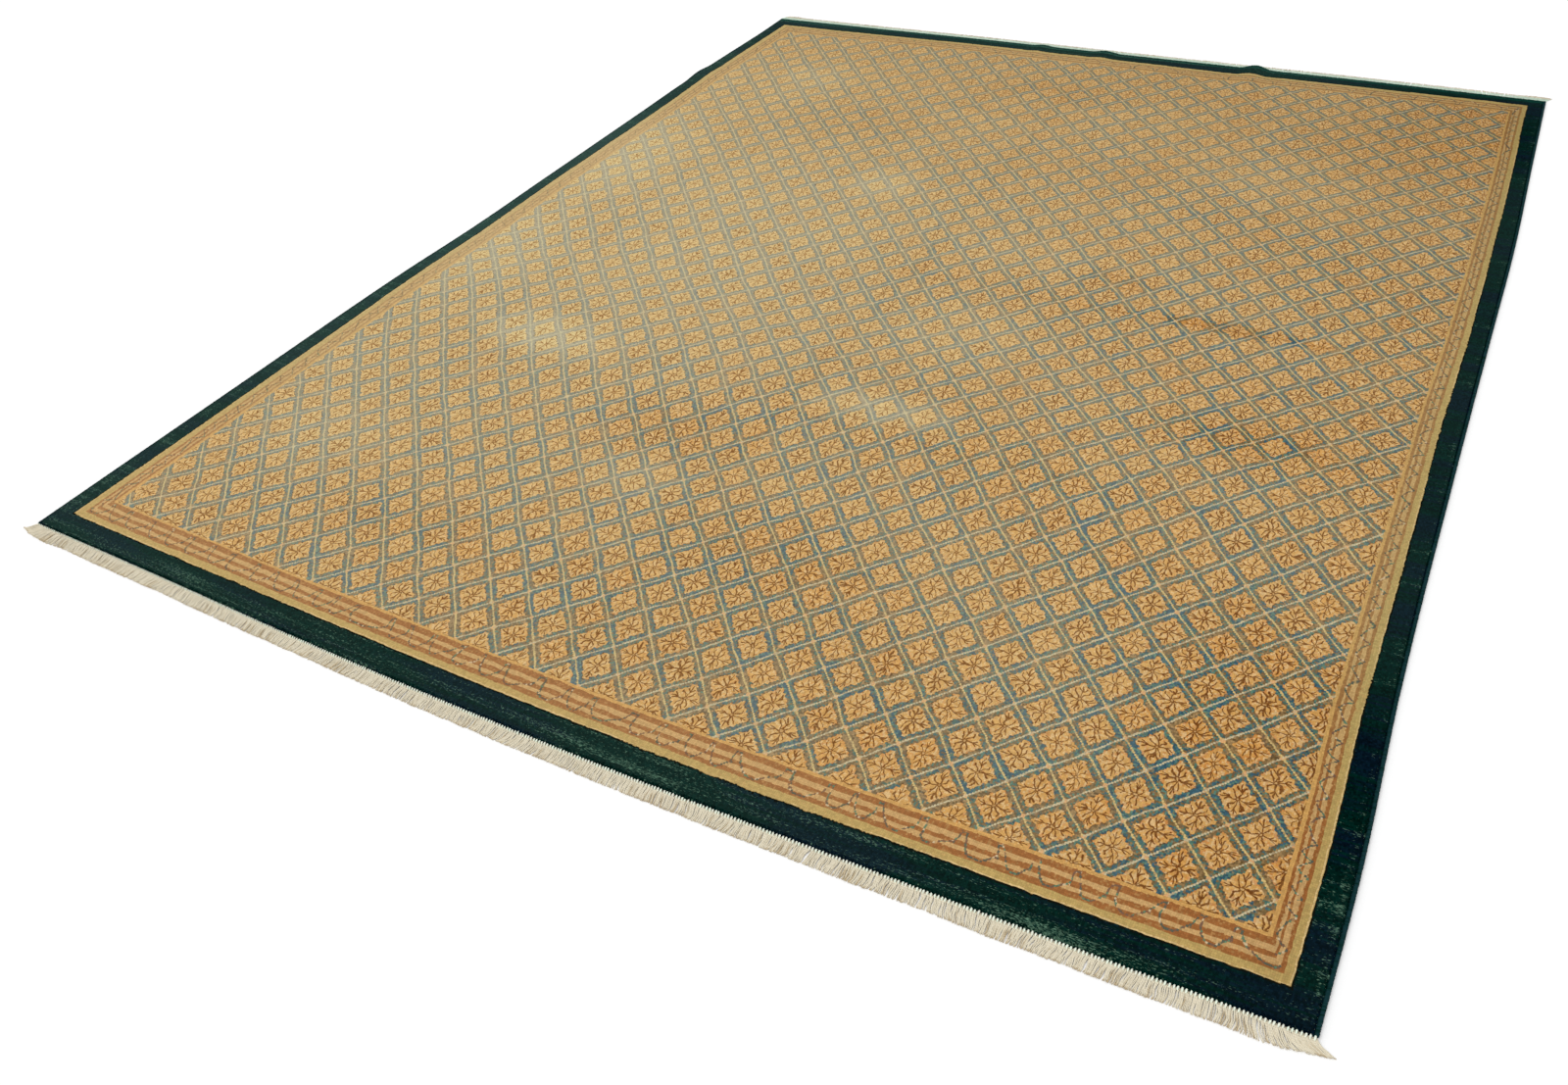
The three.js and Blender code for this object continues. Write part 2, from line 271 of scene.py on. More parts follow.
class Chart:
    """A material's nodes, put down by name and linked by the sums that use them."""

    def __init__(self, name):
        self.material = bpy.data.materials.new(name)
        self.material.use_nodes = True
        self.tree = self.material.node_tree
        self.shader = self.tree.nodes["Principled BSDF"]

    def node(self, kind, inputs=None, **settings):
        """A new node with its settings, and its inputs fed by name or by number."""
        made = self.tree.nodes.new(kind)
        for name, value in settings.items():
            setattr(made, name, value)
        for name, value in (inputs or {}).items():
            self.feed(made.inputs[name], value)
        return made

    def feed(self, socket, value):
        """Gives a socket a term, another node's output, or a plain value."""
        if isinstance(value, Term):
            value = value.socket
        if isinstance(value, bpy.types.NodeSocket):
            self.tree.links.new(value, socket)
        elif socket.type == "RGBA":
            socket.default_value = (*value[:3], 1)
        else:
            socket.default_value = value

    def sum(self, operation, *values):
        made = self.node("ShaderNodeMath", dict(enumerate(values)), operation=operation)
        return Term(self, made.outputs[0])

    def least(self, *values):
        found = values[0]
        for value in values[1:]:
            found = self.sum("MINIMUM", found, value)
        return found

    def most(self, *values):
        found = values[0]
        for value in values[1:]:
            found = self.sum("MAXIMUM", found, value)
        return found

    def clamped(self, value):
        return Term(self, self.node("ShaderNodeClamp", {"Value": value}).outputs[0])

    def rise(self, value, start, end):
        """0 where value is at start or before it, 1 at end or past it. start may be above end."""
        falls = start > end
        inputs = {
            "Value": value, "From Min": min(start, end), "From Max": max(start, end),
            "To Min": float(falls), "To Max": float(not falls),
        }
        made = self.node("ShaderNodeMapRange", inputs, interpolation_type="SMOOTHSTEP")
        return Term(self, made.outputs["Result"])

    def point(self, x, y):
        return self.node("ShaderNodeCombineXYZ", {"X": x, "Y": y}).outputs[0]

    def vector(self, operation, *values, output=0):
        made = self.node("ShaderNodeVectorMath", dict(enumerate(values)), operation=operation)
        return made.outputs[output]

    def parts(self, vector):
        """X, Y and Z of a vector or a colour."""
        return [Term(self, output) for output in self.node("ShaderNodeSeparateXYZ", {0: vector}).outputs]

    def spot(self, point, x, y, radius):
        """The distance from a disc's rim, below 0 inside it."""
        return Term(self, self.vector("DISTANCE", point, (x, y, 0), output=1)) - radius

    def stroke(self, point, start, end):
        """The distance from a straight stroke between two points."""
        run = Vector((end[0] - start[0], end[1] - start[1], 0))
        here = self.vector("SUBTRACT", point, (*start, 0))
        share = self.vector("DOT_PRODUCT", here, tuple(run / run.length_squared), output=1)
        nearest = self.shade(tuple(run), self.clamped(share))
        return Term(self, self.vector("DISTANCE", here, nearest, output=1))

    def noise_node(self, x, y, across, along, detail, roughness):
        place = self.point(x / across, y / (along or across))
        inputs = {"Vector": place, "Scale": 1, "Detail": detail, "Roughness": roughness}
        return self.node("ShaderNodeTexNoise", inputs, noise_dimensions="2D")

    def noise(self, x, y, across, along=None, detail=2.0, roughness=0.5):
        """Soft noise about 0.5 on the mean, whose spots measure across by along."""
        return Term(self, self.noise_node(x, y, across, along, detail, roughness).outputs[0])

    def noises(self, x, y, across, detail=2.0, roughness=0.5):
        """Three such noises that differ from each other."""
        return self.parts(self.noise_node(x, y, across, None, detail, roughness).outputs[1])

    def dice(self, point):
        """Three numbers from 0 to 1, drawn anew for each point."""
        made = self.node("ShaderNodeTexWhiteNoise", {"Vector": point}, noise_dimensions="2D")
        return self.parts(made.outputs["Color"])

    def curve(self, value, rows, reach):
        """A line through rows of value and result, both from 0 to reach."""
        made = self.node("ShaderNodeFloatCurve", {"Value": value / reach})
        line = made.mapping.curves[0]
        while len(line.points) < len(rows):
            line.points.new(0.5, 0.5)
        for spot, (place, result) in zip(line.points, rows):
            spot.location = (place / reach, result / reach)
            spot.handle_type = "VECTOR"
        made.mapping.update()
        return Term(self, made.outputs[0]) * reach

    def blend(self, mask, below, above):
        """Colour below where mask is 0 and above where it is 1."""
        return self.node("ShaderNodeMix", {0: mask, 6: below, 7: above}, data_type="RGBA").outputs[2]

    def layers(self, colour, *layers):
        """A colour with others laid over it in turn, each where its mask is 1."""
        for mask, above in layers:
            colour = self.blend(mask, colour, above)
        return colour

    def shade(self, colour, factor):
        """A colour made darker or lighter by a factor, or a vector made shorter or longer."""
        made = self.node("ShaderNodeVectorMath", {0: colour, "Scale": factor}, operation="SCALE")
        return made.outputs[0]

    def ramp(self, value, rows, reach, interpolation="CONSTANT"):
        """Colours by value, each row's from its place on. Places go from 0 to reach."""
        made = self.node("ShaderNodeValToRGB", {0: value / reach})
        band = made.color_ramp
        band.interpolation = interpolation
        while len(band.elements) < len(rows):
            band.elements.new(1.0)
        for element, (place, colour) in zip(band.elements, rows):
            element.position = place / reach
            element.color = (*colour[:3], 1)
        return made.outputs[0]

    def attribute(self, name):
        made = self.node("ShaderNodeAttribute", attribute_name=name)
        return Term(self, made.outputs["Fac"])

    def map_point(self, name):
        """A piece's own map, in mm."""
        made = self.node("ShaderNodeUVMap", uv_map=name)
        x, y, _ = self.parts(made.outputs[0])
        return x / MM, y / MM

    def relief(self, height, depth, strength):
        """Raises the surface by height, where 1 is depth in metres."""
        made = self.node("ShaderNodeBump", {"Distance": depth, "Strength": strength, "Height": height})
        self.feed(self.shader.inputs["Normal"], made.outputs[0])

    def finish(self, colour, roughness, sheen, specular):
        """The finished material. Only its colour changes over the surface."""
        self.feed(self.shader.inputs["Base Color"], colour)
        self.shader.inputs["Roughness"].default_value = roughness
        self.shader.inputs["Sheen Weight"].default_value = sheen
        self.shader.inputs["Specular IOR Level"].default_value = specular
        return self.material


# The woven design, in mm on the rug's plan map

# Where the lattice's first row of crossings lies, from the near and the left edge
FIELD_NEAR = 123.0
FIELD_LEFT = 89.0

# The border's depths from an end: where each stripe begins
GREEN_UNTIL = 54.4
STRIPES_UNTIL = 117.0
FIELD_FROM = 122.5
BORDER_REACH = 200.0

# How far in from the far end lies what is at that depth from the near end
FAR_DEPTHS = [(0, 0), (55.5, 54.4), (70, 69.5), (114.5, 122.5), (191, 200), (200, 200)]

# How far in from a side lies what is at that depth from an end
SIDE_DEPTHS = [
    (0, 0), (43.7, 54.4), (55.5, 69.5), (60.5, 78.5), (68, 87.5), (72, 96),
    (76, 105), (81, 117), (86.5, 122.5), (159, 200), (200, 200),
]

# The same for the left side, whose stripes are wider
LEFT_DEPTHS = [
    (0, 0), (40.2, 54.4), (57.5, 69.5), (63, 78.5), (69.5, 87.5), (75, 96),
    (81, 105), (87, 117), (96, 122.5), (170, 200), (200, 200),
]

# How far the border's lines stray inwards along each edge: the share of the edge, and the stray in mm
NEAR_STRAY = [
    (0, -1.5), (0.08, -3.5), (0.2, -2.5), (0.3, -1), (0.48, 0),
    (0.6, -2), (0.8, -1), (0.9, -0.5), (1, -1.5),
]
FAR_STRAY = [
    (0, 4.5), (0.1, 6), (0.2, 4), (0.28, 1.5), (0.4, 2), (0.52, 3),
    (0.6, 7), (0.65, 9.5), (0.72, 4.5), (0.84, 3), (0.92, -1.5), (1, -1),
]
LEFT_STRAY = [
    (0, 10), (0.15, 10.5), (0.26, 9.5), (0.36, 5), (0.46, 1.5),
    (0.54, 0), (0.62, 3.5), (0.74, 8), (0.82, 6), (0.94, 4), (1, 6),
]
RIGHT_STRAY = [
    (0, 0), (0.15, 0), (0.28, -4), (0.45, -1), (0.55, -4.5),
    (0.7, -1), (0.84, -3.5), (0.92, -1), (1, -2),
]

# One turn of the vine along an end, 57 mm long: its share of the turn in hundredths, and its depth
VINE_TURN = 57.0
END_VINE = [
    (0, 112.5), (8, 112.5), (11, 108), (13.5, 100), (18, 90), (24, 82), (32, 76.5), (42, 74), (56, 74),
    (64, 77.5), (76, 84.5), (86, 89.5), (91, 93), (93.5, 99), (95, 106), (97, 111), (100, 112.5),
]
VINE_REACH = 120.0

# The vine along a side zigzags: the length of one turn, its least depth, twice how far it swings, and how
# much wider it is than along an end
SIDE_VINE_TURN = 42.0
SIDE_VINE_DEPTH = 77.0
SIDE_VINE_SWING = 58.0
SIDE_VINE_WIDER = 2.0

# How far the vine's turns drift along an end and along a side, and where its thread fades out and is full
END_VINE_DRIFT = 70.0
SIDE_VINE_DRIFT = 90.0
VINE_EDGES = (2.0, 1.2)

# A quarter of a floret, from its centre: discs that make its outline, and strokes drawn in it
FLORET_FLAT = 22.4
FLORET_DISCS = [(22.6, 0, 5.6), (15.8, 10.4, 5.1), (8.9, 18.9, 5.0), (0, 29.6, 5.2)]
FLORET_STROKES = [
    ((2.8, 0), (24.0, 0)),
    ((0, 2.8), (0, 28.0)),
    ((12.5, 0.6), (19.5, 5.4)),
    ((0.6, 15.0), (5.4, 23.0)),
    ((3.2, 3.6), (9.6, 11.6)),
    ((9.2, 10.8), (9.8, 16.8)),
]


# How far a point is drawn towards the middle of its knot, and how far a knot strays, in mm
KNOT_SNAP = 0.5
KNOT_STRAY = 0.9


def drawn_to_knots(chart, x, y):
    """Where the design is read: each point drawn towards its knot's middle, with the knot's own stray."""
    across = sizes().knot_across / MM
    along = sizes().knot_along / MM
    column = (x / across).floor()
    row = (y / along).floor()
    stray, tone, lot = chart.dice(chart.point(column, row))
    middle_x = (column + 0.5) * across
    middle_y = (row + 0.5) * along
    knot_x = x + (middle_x - x) * KNOT_SNAP + (stray - 0.5) * KNOT_STRAY
    knot_y = y + (middle_y - y) * KNOT_SNAP + (lot - 0.5) * KNOT_STRAY
    return knot_x, knot_y, tone, lot, stray


# How unevenly it is woven, in mm: the lattice, each floret's place, its outline and its strokes
WEAVER_DRIFT = 8.0
FLORET_SHIFT = 2.8
OUTLINE_WIGGLE = 5.0
STROKE_WIGGLE = 10.0

# The radius of the ring round a floret's heart, and the leaning pile's stretch along the rug, in mm
HEART_RING = 2.9
LEANS_FROM = 1200
LEANS_FULLY_AT = 2800

# Where a line fades out and where it is full, in mm from its middle
LINE_EDGES = (2.0, 1.1)
CROSSING_EDGES = (4.0, 2.6)
STROKE_EDGES = (1.45, 0.7)

BLUE = dye(58, 94, 108)
OLIVE = dye(110, 88, 52)
ORANGE = dye(206, 143, 66)
PETAL = dye(218, 184, 134)
# The band's, stroke's and line's paler colours, laid where fading from use and painted sheen pale the pile
SHEEN_FADED_BAND = dye(176, 168, 142)
LEANING_BAND = dye(172, 146, 100)
SHEEN_FADED_STROKE = dye(170, 128, 78)
SHEEN_FADED_LINE = dye(196, 188, 152)
PALE_LINE = dye(196, 186, 156)
CROSSING = dye(224, 160, 100)
EMBER = dye(186, 106, 52)


def field_colour(chart, x, y, fine_x, fine_y, tone, lot, stray, pale):
    """The gold florets, each in a diamond of the blue lattice, paler with fading from use and painted sheen.
    """
    dyes = colours()
    cell_across = sizes().cell_across / MM
    cell_along = sizes().cell_along / MM
    from_line = 1 / math.hypot(1 / cell_across, 1 / cell_along)

    # The distances from the lattice's two families of lines
    drift_x, drift_y, drift_lot = chart.noises(x, y, 95, detail=1.6, roughness=0.4)
    a = (x + (drift_x - 0.5) * WEAVER_DRIFT - FIELD_LEFT) / cell_across
    b = (y + (drift_y - 0.5) * WEAVER_DRIFT - FIELD_NEAR) / cell_along
    rising = b - a + 0.5
    falling = a + b - 0.5
    from_rising = rising.to_nearest() * from_line
    from_falling = falling.to_nearest() * from_line
    lattice = chart.least(from_rising, from_falling)
    crossing = chart.most(from_rising, from_falling)

    # The place in the diamond, from its centre, moved a little from one diamond to the next
    share_rising = rising.fraction() - 0.5
    share_falling = falling.fraction() - 0.5
    shift_x, shift_y, cell_lot = chart.dice(chart.point(rising.floor(), falling.floor()))
    off_x = (share_falling - share_rising) * (cell_across / 2) + (shift_x - 0.5) * FLORET_SHIFT
    off_y = (share_falling + share_rising) * (cell_along / 2) + (shift_y - 0.5) * FLORET_SHIFT
    wiggle_x, wiggle_y, _ = chart.noises(x, y, 15, detail=0.6)

    # The floret's outline, from its first quarter, below 0 inside it
    fold_x = abs(off_x + (wiggle_x - 0.5) * OUTLINE_WIGGLE)
    fold_y = abs(off_y + (wiggle_y - 0.5) * OUTLINE_WIGGLE)
    rim = chart.point(fold_x, fold_y)
    outline = (fold_x / cell_across + fold_y / cell_along) * from_line - FLORET_FLAT
    for disc_x, disc_y, radius in FLORET_DISCS:
        outline = chart.least(outline, chart.spot(rim, disc_x, disc_y, radius))
    petal = chart.noise(x, y, 7, detail=1.0)
    outline = outline + (petal - 0.5) * 5

    # Its strokes and its round heart, read more finely than by the knot
    fine_off_x = off_x + (fine_x - x) + (wiggle_x - 0.5) * STROKE_WIGGLE
    fine_off_y = off_y + (fine_y - y) + (wiggle_y - 0.5) * STROKE_WIGGLE
    place = chart.point(abs(fine_off_x), abs(fine_off_y))
    strokes = chart.least(*[chart.stroke(place, start, end) for start, end in FLORET_STROKES])
    strokes = strokes + (shift_x - 0.5) * 0.5
    inked = chart.least(chart.rise(strokes, *STROKE_EDGES), chart.rise(outline, 0.6, -0.2))
    heart = Term(chart, chart.vector("LENGTH", place, output=1))
    inked = chart.most(inked, chart.rise(abs(heart - HEART_RING), 1.3, 0.6))

    # Towards the far end the pile leans away, and less of the strokes and of the blue shows
    leaning = chart.rise(y, LEANS_FROM, LEANS_FULLY_AT)

    # The lattice's bands change from one dye lot to the next, knot by knot and stretch by stretch
    stretch = chart.noise(x, y, 34, detail=1.0)
    blue_lot = drift_lot * 0.7 + (tone - 0.5) + (cell_lot - 0.5) * 0.6 + (stretch - 0.5) * 1.5 + 0.12
    lots = [
        (0, BLUE), (0.14, dyes.slate), (0.34, dyes.teal), (0.52, dyes.mauve), (0.72, OLIVE), (1, dyes.tan),
    ]
    band = chart.shade(chart.ramp(blue_lot, lots, 1, "LINEAR"), 0.72 + stray * 0.56)
    # Fading from use and painted sheen make the bands paler
    band = chart.layers(band, (pale, SHEEN_FADED_BAND), (leaning * 0.25, LEANING_BAND))

    # The ground varies from floret to floret and within each, with rusty knots, more of them at the outline
    at_outline = chart.rise(abs(outline + 0.6), 2.4, 1.2) * chart.rise(stray, 0.5, 0.7)
    embers = chart.clamped(chart.rise(stray, 0.9, 0.96) + at_outline)
    gold = chart.layers(
        dyes.gold,
        (chart.rise(cell_lot, 0.4, 1.0) * 0.5, ORANGE),
        (chart.rise(petal + (lot - 0.5) * 0.6, 0.46, 0.7) * 0.75, PETAL),
        (embers * 0.5, EMBER),
        # Paler where fading from use and painted sheen pale the pile
        (pale, dyes.sheen_faded),
    )
    # The strokes are paler with fading, painted sheen and the leaning pile
    brown = chart.blend(chart.least(pale * 0.75 + leaning * 0.3, 0.9), dyes.brown, SHEEN_FADED_STROKE)
    line = chart.layers(
        dyes.line,
        (chart.rise(from_rising, 3.0, 1.5) * 0.75, PALE_LINE),
        (chart.rise(tone, 0.76, 0.9) * 0.6, dyes.mauve),
        (chart.rise(crossing, 5.0, 3.0) * chart.rise(lot, 0.2, 0.6) * 0.7, CROSSING),
        (pale, SHEEN_FADED_LINE),
    )
    return chart.layers(
        band,
        (chart.rise(outline, 1.6, 0.2) * chart.rise(lot, 0.9, 0.3), dyes.umber),
        (chart.rise(outline, 0.5, -0.5), gold),
        (inked * (0.8 + stray * 0.2), brown),
        (chart.rise(heart, 1.9, 1.3), dyes.straw),
        (chart.most(chart.rise(lattice, *LINE_EDGES), chart.rise(crossing, *CROSSING_EDGES)), line),
    )


def border_depth(chart, x, y):
    """The depth into the border on the ends' scale, and 1 where an end is nearer than a side."""
    end_stray = chart.attribute("end_stray")
    side_stray = chart.attribute("side_stray")

    def depth(away, table):
        held = chart.most(0.0, chart.least(away, BORDER_REACH - 1))
        return chart.curve(held, table, BORDER_REACH)

    from_left = depth(x - side_stray, LEFT_DEPTHS)
    from_right = depth(sizes().width / MM - x - side_stray, SIDE_DEPTHS)
    from_far = depth(sizes().length / MM - y - end_stray, FAR_DEPTHS)
    from_side = chart.least(from_left, from_right)
    from_end = chart.least(y - end_stray, from_far)
    return chart.least(from_end, from_side), chart.sum("LESS_THAN", from_end, from_side)


def vine_mask(chart, x, y, depth, at_end, stray):
    """A thin line that winds through the stripes: arches along the ends, zigzags along the sides."""
    sway_x, sway_y, _ = chart.noises(x, y, 150, detail=1.0)
    turn = ((x + (sway_x - 0.5) * END_VINE_DRIFT) / VINE_TURN).fraction() * 100
    here = chart.curve(turn, END_VINE, VINE_REACH)
    onwards = chart.curve((turn / 100 + 0.01).fraction() * 100, END_VINE, VINE_REACH)
    slope = (onwards - here) / (0.01 * VINE_TURN)
    arches = abs(depth - here) / chart.sum("SQRT", slope * slope + 1)
    swing = ((y + (sway_y - 0.5) * SIDE_VINE_DRIFT) / SIDE_VINE_TURN).to_nearest()
    zigzag = abs(depth - (SIDE_VINE_DEPTH + swing * SIDE_VINE_SWING)) / SIDE_VINE_WIDER
    line = zigzag + (arches - zigzag) * at_end

    # Some of its knots are left out, and it stays clear of the outer guard
    return chart.rise(line, *VINE_EDGES) * chart.rise(stray, 0.03, 0.22) * chart.rise(depth, 66, 68)


# The greener dye lot of the last rows at the far end, the green paled by fading from use and by painted
# sheen, and the border's black inner rim
EMERALD_ROWS = dye(0, 50, 42)
SHEEN_FADED_GREEN = dye(66, 92, 84)
BLACK_RIM = dye(16, 18, 12)


def green_border(chart, x, y, tone, lot, depth, pale):
    """The dark border: dye lots in streaks across the rug, and lighter fibres with painted glints in some
    rows.
    """
    dyes = colours()
    from_far = sizes().length / MM - y
    streak = chart.noise(x, y, 170, 6.5, detail=2.5, roughness=0.6)
    patch = chart.noise(x + 2343, y, 330, 60)
    grain = chart.noise(x, y, 6.5, 1.9, roughness=0.7)
    band = chart.noise(x + 1610, y, 700, 17, detail=1.0)
    navy = chart.rise(patch + (streak - 0.5) * 0.8, 0.44, 0.66)
    dark = chart.layers(dyes.green, (navy, dyes.navy), (chart.rise(from_far, 30, 22), EMERALD_ROWS))
    dark = chart.shade(dark, 0.24 + tone * 0.68 + band * 0.68)

    # The lighter fibres and painted glints on knot tips are denser near the near edge and the left one, and
    # sparse on the right side
    rows = chart.rise(abs(depth - 17), 9, 3) * 0.07 - chart.rise(abs(depth - 36), 12, 6) * 0.02
    rows = rows + chart.rise(y, 420, 60) * 0.05 + chart.rise(x, 500, 60) * 0.02
    rows = rows - chart.rise(x, 1500, 2300) * (chart.rise(y, 150, 500) * 0.06 + 0.01)
    lift = (streak - 0.5) * 0.45 + (band - 0.5) * 0.35 - (patch - 0.5) * 0.25 + rows
    flecks_and_glints = chart.rise(grain + lift, 0.68, 0.78) * (0.3 + lot * 0.7)
    rim = chart.rise(depth + (lot - 0.5) * 3, 51.2, 52.2)
    # Fading from use and painted sheen pale the green here
    return chart.layers(dark, (flecks_and_glints, dyes.moss), (pale * 0.55, SHEEN_FADED_GREEN), (rim, BLACK_RIM))


FIRST_ROW = dye(212, 182, 126)
SALLOW = dye(172, 168, 112)
TAWNY = dye(186, 146, 90)


def border_colour(chart, y, depth, lot):
    """The guards' stripes by their depth from the edge, sallower away from the near end."""
    dyes = colours()
    rows = [
        (0, dyes.guard), (55, FIRST_ROW), (56.8, dyes.guard), (69, dyes.rust), (78.5, dyes.straw),
        (87.5, dyes.rust), (95.5, dyes.straw), (105, dyes.rust), (STRIPES_UNTIL, dyes.gold),
    ]
    stripes = chart.ramp(depth, rows, BORDER_REACH)
    sallow = chart.rise(y, 200, 700) * 0.2
    return chart.layers(stripes, (sallow, SALLOW), (chart.rise(lot, 0.72, 0.9) * 0.4, TAWNY))


# How far the tufts lean to and fro, and how far the border's lines step by a knot, in mm
KNOT_LEAN = 3.0
LINE_STEP = 3.4
# How high the tufts stand
TUFT_RELIEF = 0.8 * MM

# Paler guard for fading and painted sheen; more brown field for brown patches and painted crease shade
SHEEN_FADED_GUARD = dye(202, 178, 134)
BROWNED_AND_SHADED = dye(132, 92, 52)

# The vine's grey, brown, leaf green and pale knots, each from its share on
VINE_KNOTS = [
    (0, dye(92, 98, 84)), (0.4, dye(120, 90, 72)), (0.72, dye(92, 122, 96)), (0.9, dye(196, 174, 138)),
]


def pile_material():
    """The knotted wool of the whole rug."""
    chart = Chart("knotted_wool")
    map_x, map_y = chart.map_point("plan")
    lean_x, lean_y, _ = chart.noises(map_x, map_y, 17)
    raw_x = map_x + (lean_x - 0.5) * KNOT_LEAN
    raw_y = map_y + (lean_y - 0.5) * KNOT_LEAN
    x, y, tone, lot, stray = drawn_to_knots(chart, raw_x, raw_y)

    # The design: stripes with the vine, the field inside them with its more brown patches and painted shade
    # in the creases, and the dark border
    step = (chart.noise(x, y, 38, detail=1.5) - 0.5) * LINE_STEP
    depth, at_end = border_depth(chart, x + step * 0.4, y + step * 0.8)
    # Paler for fading from use and painted sheen; below 0, more brown for brown patches and painted crease
    # shade
    worn_and_painted_light = chart.attribute("worn_and_painted_light")
    pale = chart.clamped(worn_and_painted_light)
    vine = vine_mask(chart, x, y, depth, at_end, stray)
    thread = chart.ramp(tone, VINE_KNOTS, 1)
    in_field = chart.rise(depth, FIELD_FROM - 0.5, FIELD_FROM + 0.5)
    design = chart.layers(
        border_colour(chart, y, depth, lot),
        (pale * 0.6, SHEEN_FADED_GUARD),
        (vine * (1 - pale * 0.6), thread),
        (in_field, field_colour(chart, x, y, raw_x, raw_y, tone, lot, stray, pale)),
        (chart.clamped(worn_and_painted_light * -1) * in_field, BROWNED_AND_SHADED),
    )
    # Painted shade of the nap, darker towards the far right
    design = chart.shade(design, chart.attribute("painted_shade"))
    green = green_border(chart, raw_x, raw_y, tone, lot, depth, pale)
    design = chart.blend(chart.rise(depth, GREEN_UNTIL - 0.4, GREEN_UNTIL + 0.4), green, design)

    # Each knot is a tuft with a rounded tip, with painted shade where it meets the next one
    across = (raw_x / (sizes().knot_across / MM)).fraction() - 0.5
    along = (raw_y / (sizes().knot_along / MM)).fraction() - 0.5
    dome = 1 - (across * across + along * along) * 2.2
    fibre = chart.noise(raw_x, raw_y, 0.9, roughness=0.6)
    chart.relief(dome * (0.5 + tone * 0.5) + fibre * 1.1, TUFT_RELIEF, 0.55)
    shade = 0.56 + chart.clamped(dome) * 0.18 + tone * 0.26 + fibre * 0.32
    return chart.finish(chart.shade(design, shade), 0.95, 0.004, 0.0)


# Meshes


def new_piece(name, places, faces, material):
    """A mesh object at the origin with its faces' outsides outwards."""
    mesh = bpy.data.meshes.new(name)
    mesh.from_pydata(places, [], faces)
    mesh.update()
    mesh.materials.append(material)
    piece = bpy.data.objects.new(name, mesh)
    bpy.context.scene.collection.objects.link(piece)
    for polygon in mesh.polygons:
        polygon.use_smooth = True
    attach(piece, "root")
    return piece


def set_map(piece, name, places):
    """A UV map with one place for each vertex."""
    layer = piece.data.uv_layers.new(name=name)
    corners = np.zeros(len(piece.data.loops), np.int32)
    piece.data.loops.foreach_get("vertex_index", corners)
    layer.data.foreach_set("uv", np.asarray(places, np.float32)[corners].ravel())


def set_attribute(piece, name, values):
    attribute = piece.data.attributes.new(name, "FLOAT", "POINT")
    attribute.data.foreach_set("value", np.asarray(values, np.float32).ravel())


# How far the woven rows lie above or below their true place: the share of the length, and the drift in mm,
# along the left and the right side
ROW_DRIFT_LEFT = [
    (0, 0), (0.125, -17), (0.25, -37), (0.375, -26), (0.44, -51),
    (0.5, -42), (0.625, -26), (0.75, -23), (0.875, -12), (1, 0),
]
ROW_DRIFT_RIGHT = [
    (0, 0), (0.125, -3), (0.25, 0), (0.33, 20), (0.42, 6),
    (0.5, 2), (0.625, 9), (0.73, 12), (0.77, 0), (0.87, 3), (1, 0),
]

# Creases where the rug was folded for the shelf. A "long" one runs from near to far at a share of the
# width, a "cross" one from left to right at a share of the length. Then where it begins and ends, its depth
# in mm, and how much painted shade darkens its pile along it, towards brown.
CREASES = [
    ("long", 0.49, 0.04, 0.97, 0.7, 0.12),
    ("long", 0.152, 0.26, 0.68, 0.6, 0.08),
    ("long", 0.335, 0.6, 0.86, 0.5, 0.06),
    ("long", 0.655, 0.25, 0.76, 0.5, 0.05),
    ("cross", 0.82, 0.04, 0.56, 0.8, 0.14),
    ("cross", 0.815, 0.56, 0.96, 0.6, 0.09),
    ("cross", 0.507, 0.45, 0.96, 0.7, 0.12),
    ("cross", 0.507, 0.04, 0.45, 0.5, 0.06),
    ("cross", 0.303, 0.45, 0.97, 0.6, 0.08),
    ("cross", 0.695, 0.04, 0.5, 0.5, 0.05),
]
CREASE_HALF_WIDTH = 26 * MM

# Pale and darker patches, partly dye lots and fading from use, partly painted light and shade of
# gently tilted panels: the share of the width and of the length, the half widths across and along in mm,
# and how pale, or below 0 how brown
PATCHES = [
    (0.22, 0.32, 165, 80, 0.4), (0.57, 0.33, 150, 56, 0.4), (0.04, 0.62, 200, 330, 0.3),
    (0.05, 0.42, 170, 260, 0.2), (0.38, 0.64, 95, 85, 0.3), (0.31, 0.5, 420, 520, 0.16),
    (0.16, 0.84, 110, 130, 0.22), (0.58, 0.56, 170, 95, 0.14), (0.58, 0.44, 170, 110, 0.12),
    (0.42, 0.2, 95, 60, 0.16), (0.14, 0.15, 170, 120, 0.14), (0.75, 0.74, 180, 120, 0.1),
    (0.27, 0.75, 230, 140, -0.16), (0.42, 0.26, 190, 100, -0.16), (0.56, 0.18, 230, 130, -0.12),
    (0.84, 0.38, 190, 70, -0.2), (0.47, 0.88, 260, 90, -0.1), (0.93, 0.9, 280, 260, -0.2),
    (0.93, 0.12, 200, 260, -0.2), (0.8, 0.51, 160, 24, -0.35), (0.68, 0.55, 110, 40, -0.14),
    (0.3, 0.105, 240, 80, -0.1),
]

# Where the carpet's mesh has its first rows from a rim, and how far apart the others are, in metres
RIM_STATIONS = [0.0, 0.0009, 0.0026, 0.0085]
GRID_STEP = 0.016

# How high the pile stands at its rim, and how far in it is rounded
PILE_EDGE_HEIGHT = 5.5 * MM
PILE_ROUNDING = 2.6 * MM
PIECE_GAP = 0.3 * MM

# How much thinner the pile is pressed at its far rim, and from how far in
FAR_PRESS = 3.1 * MM
FAR_PRESS_REACH = 18 * MM

CREASE_WANDER = 3 * MM


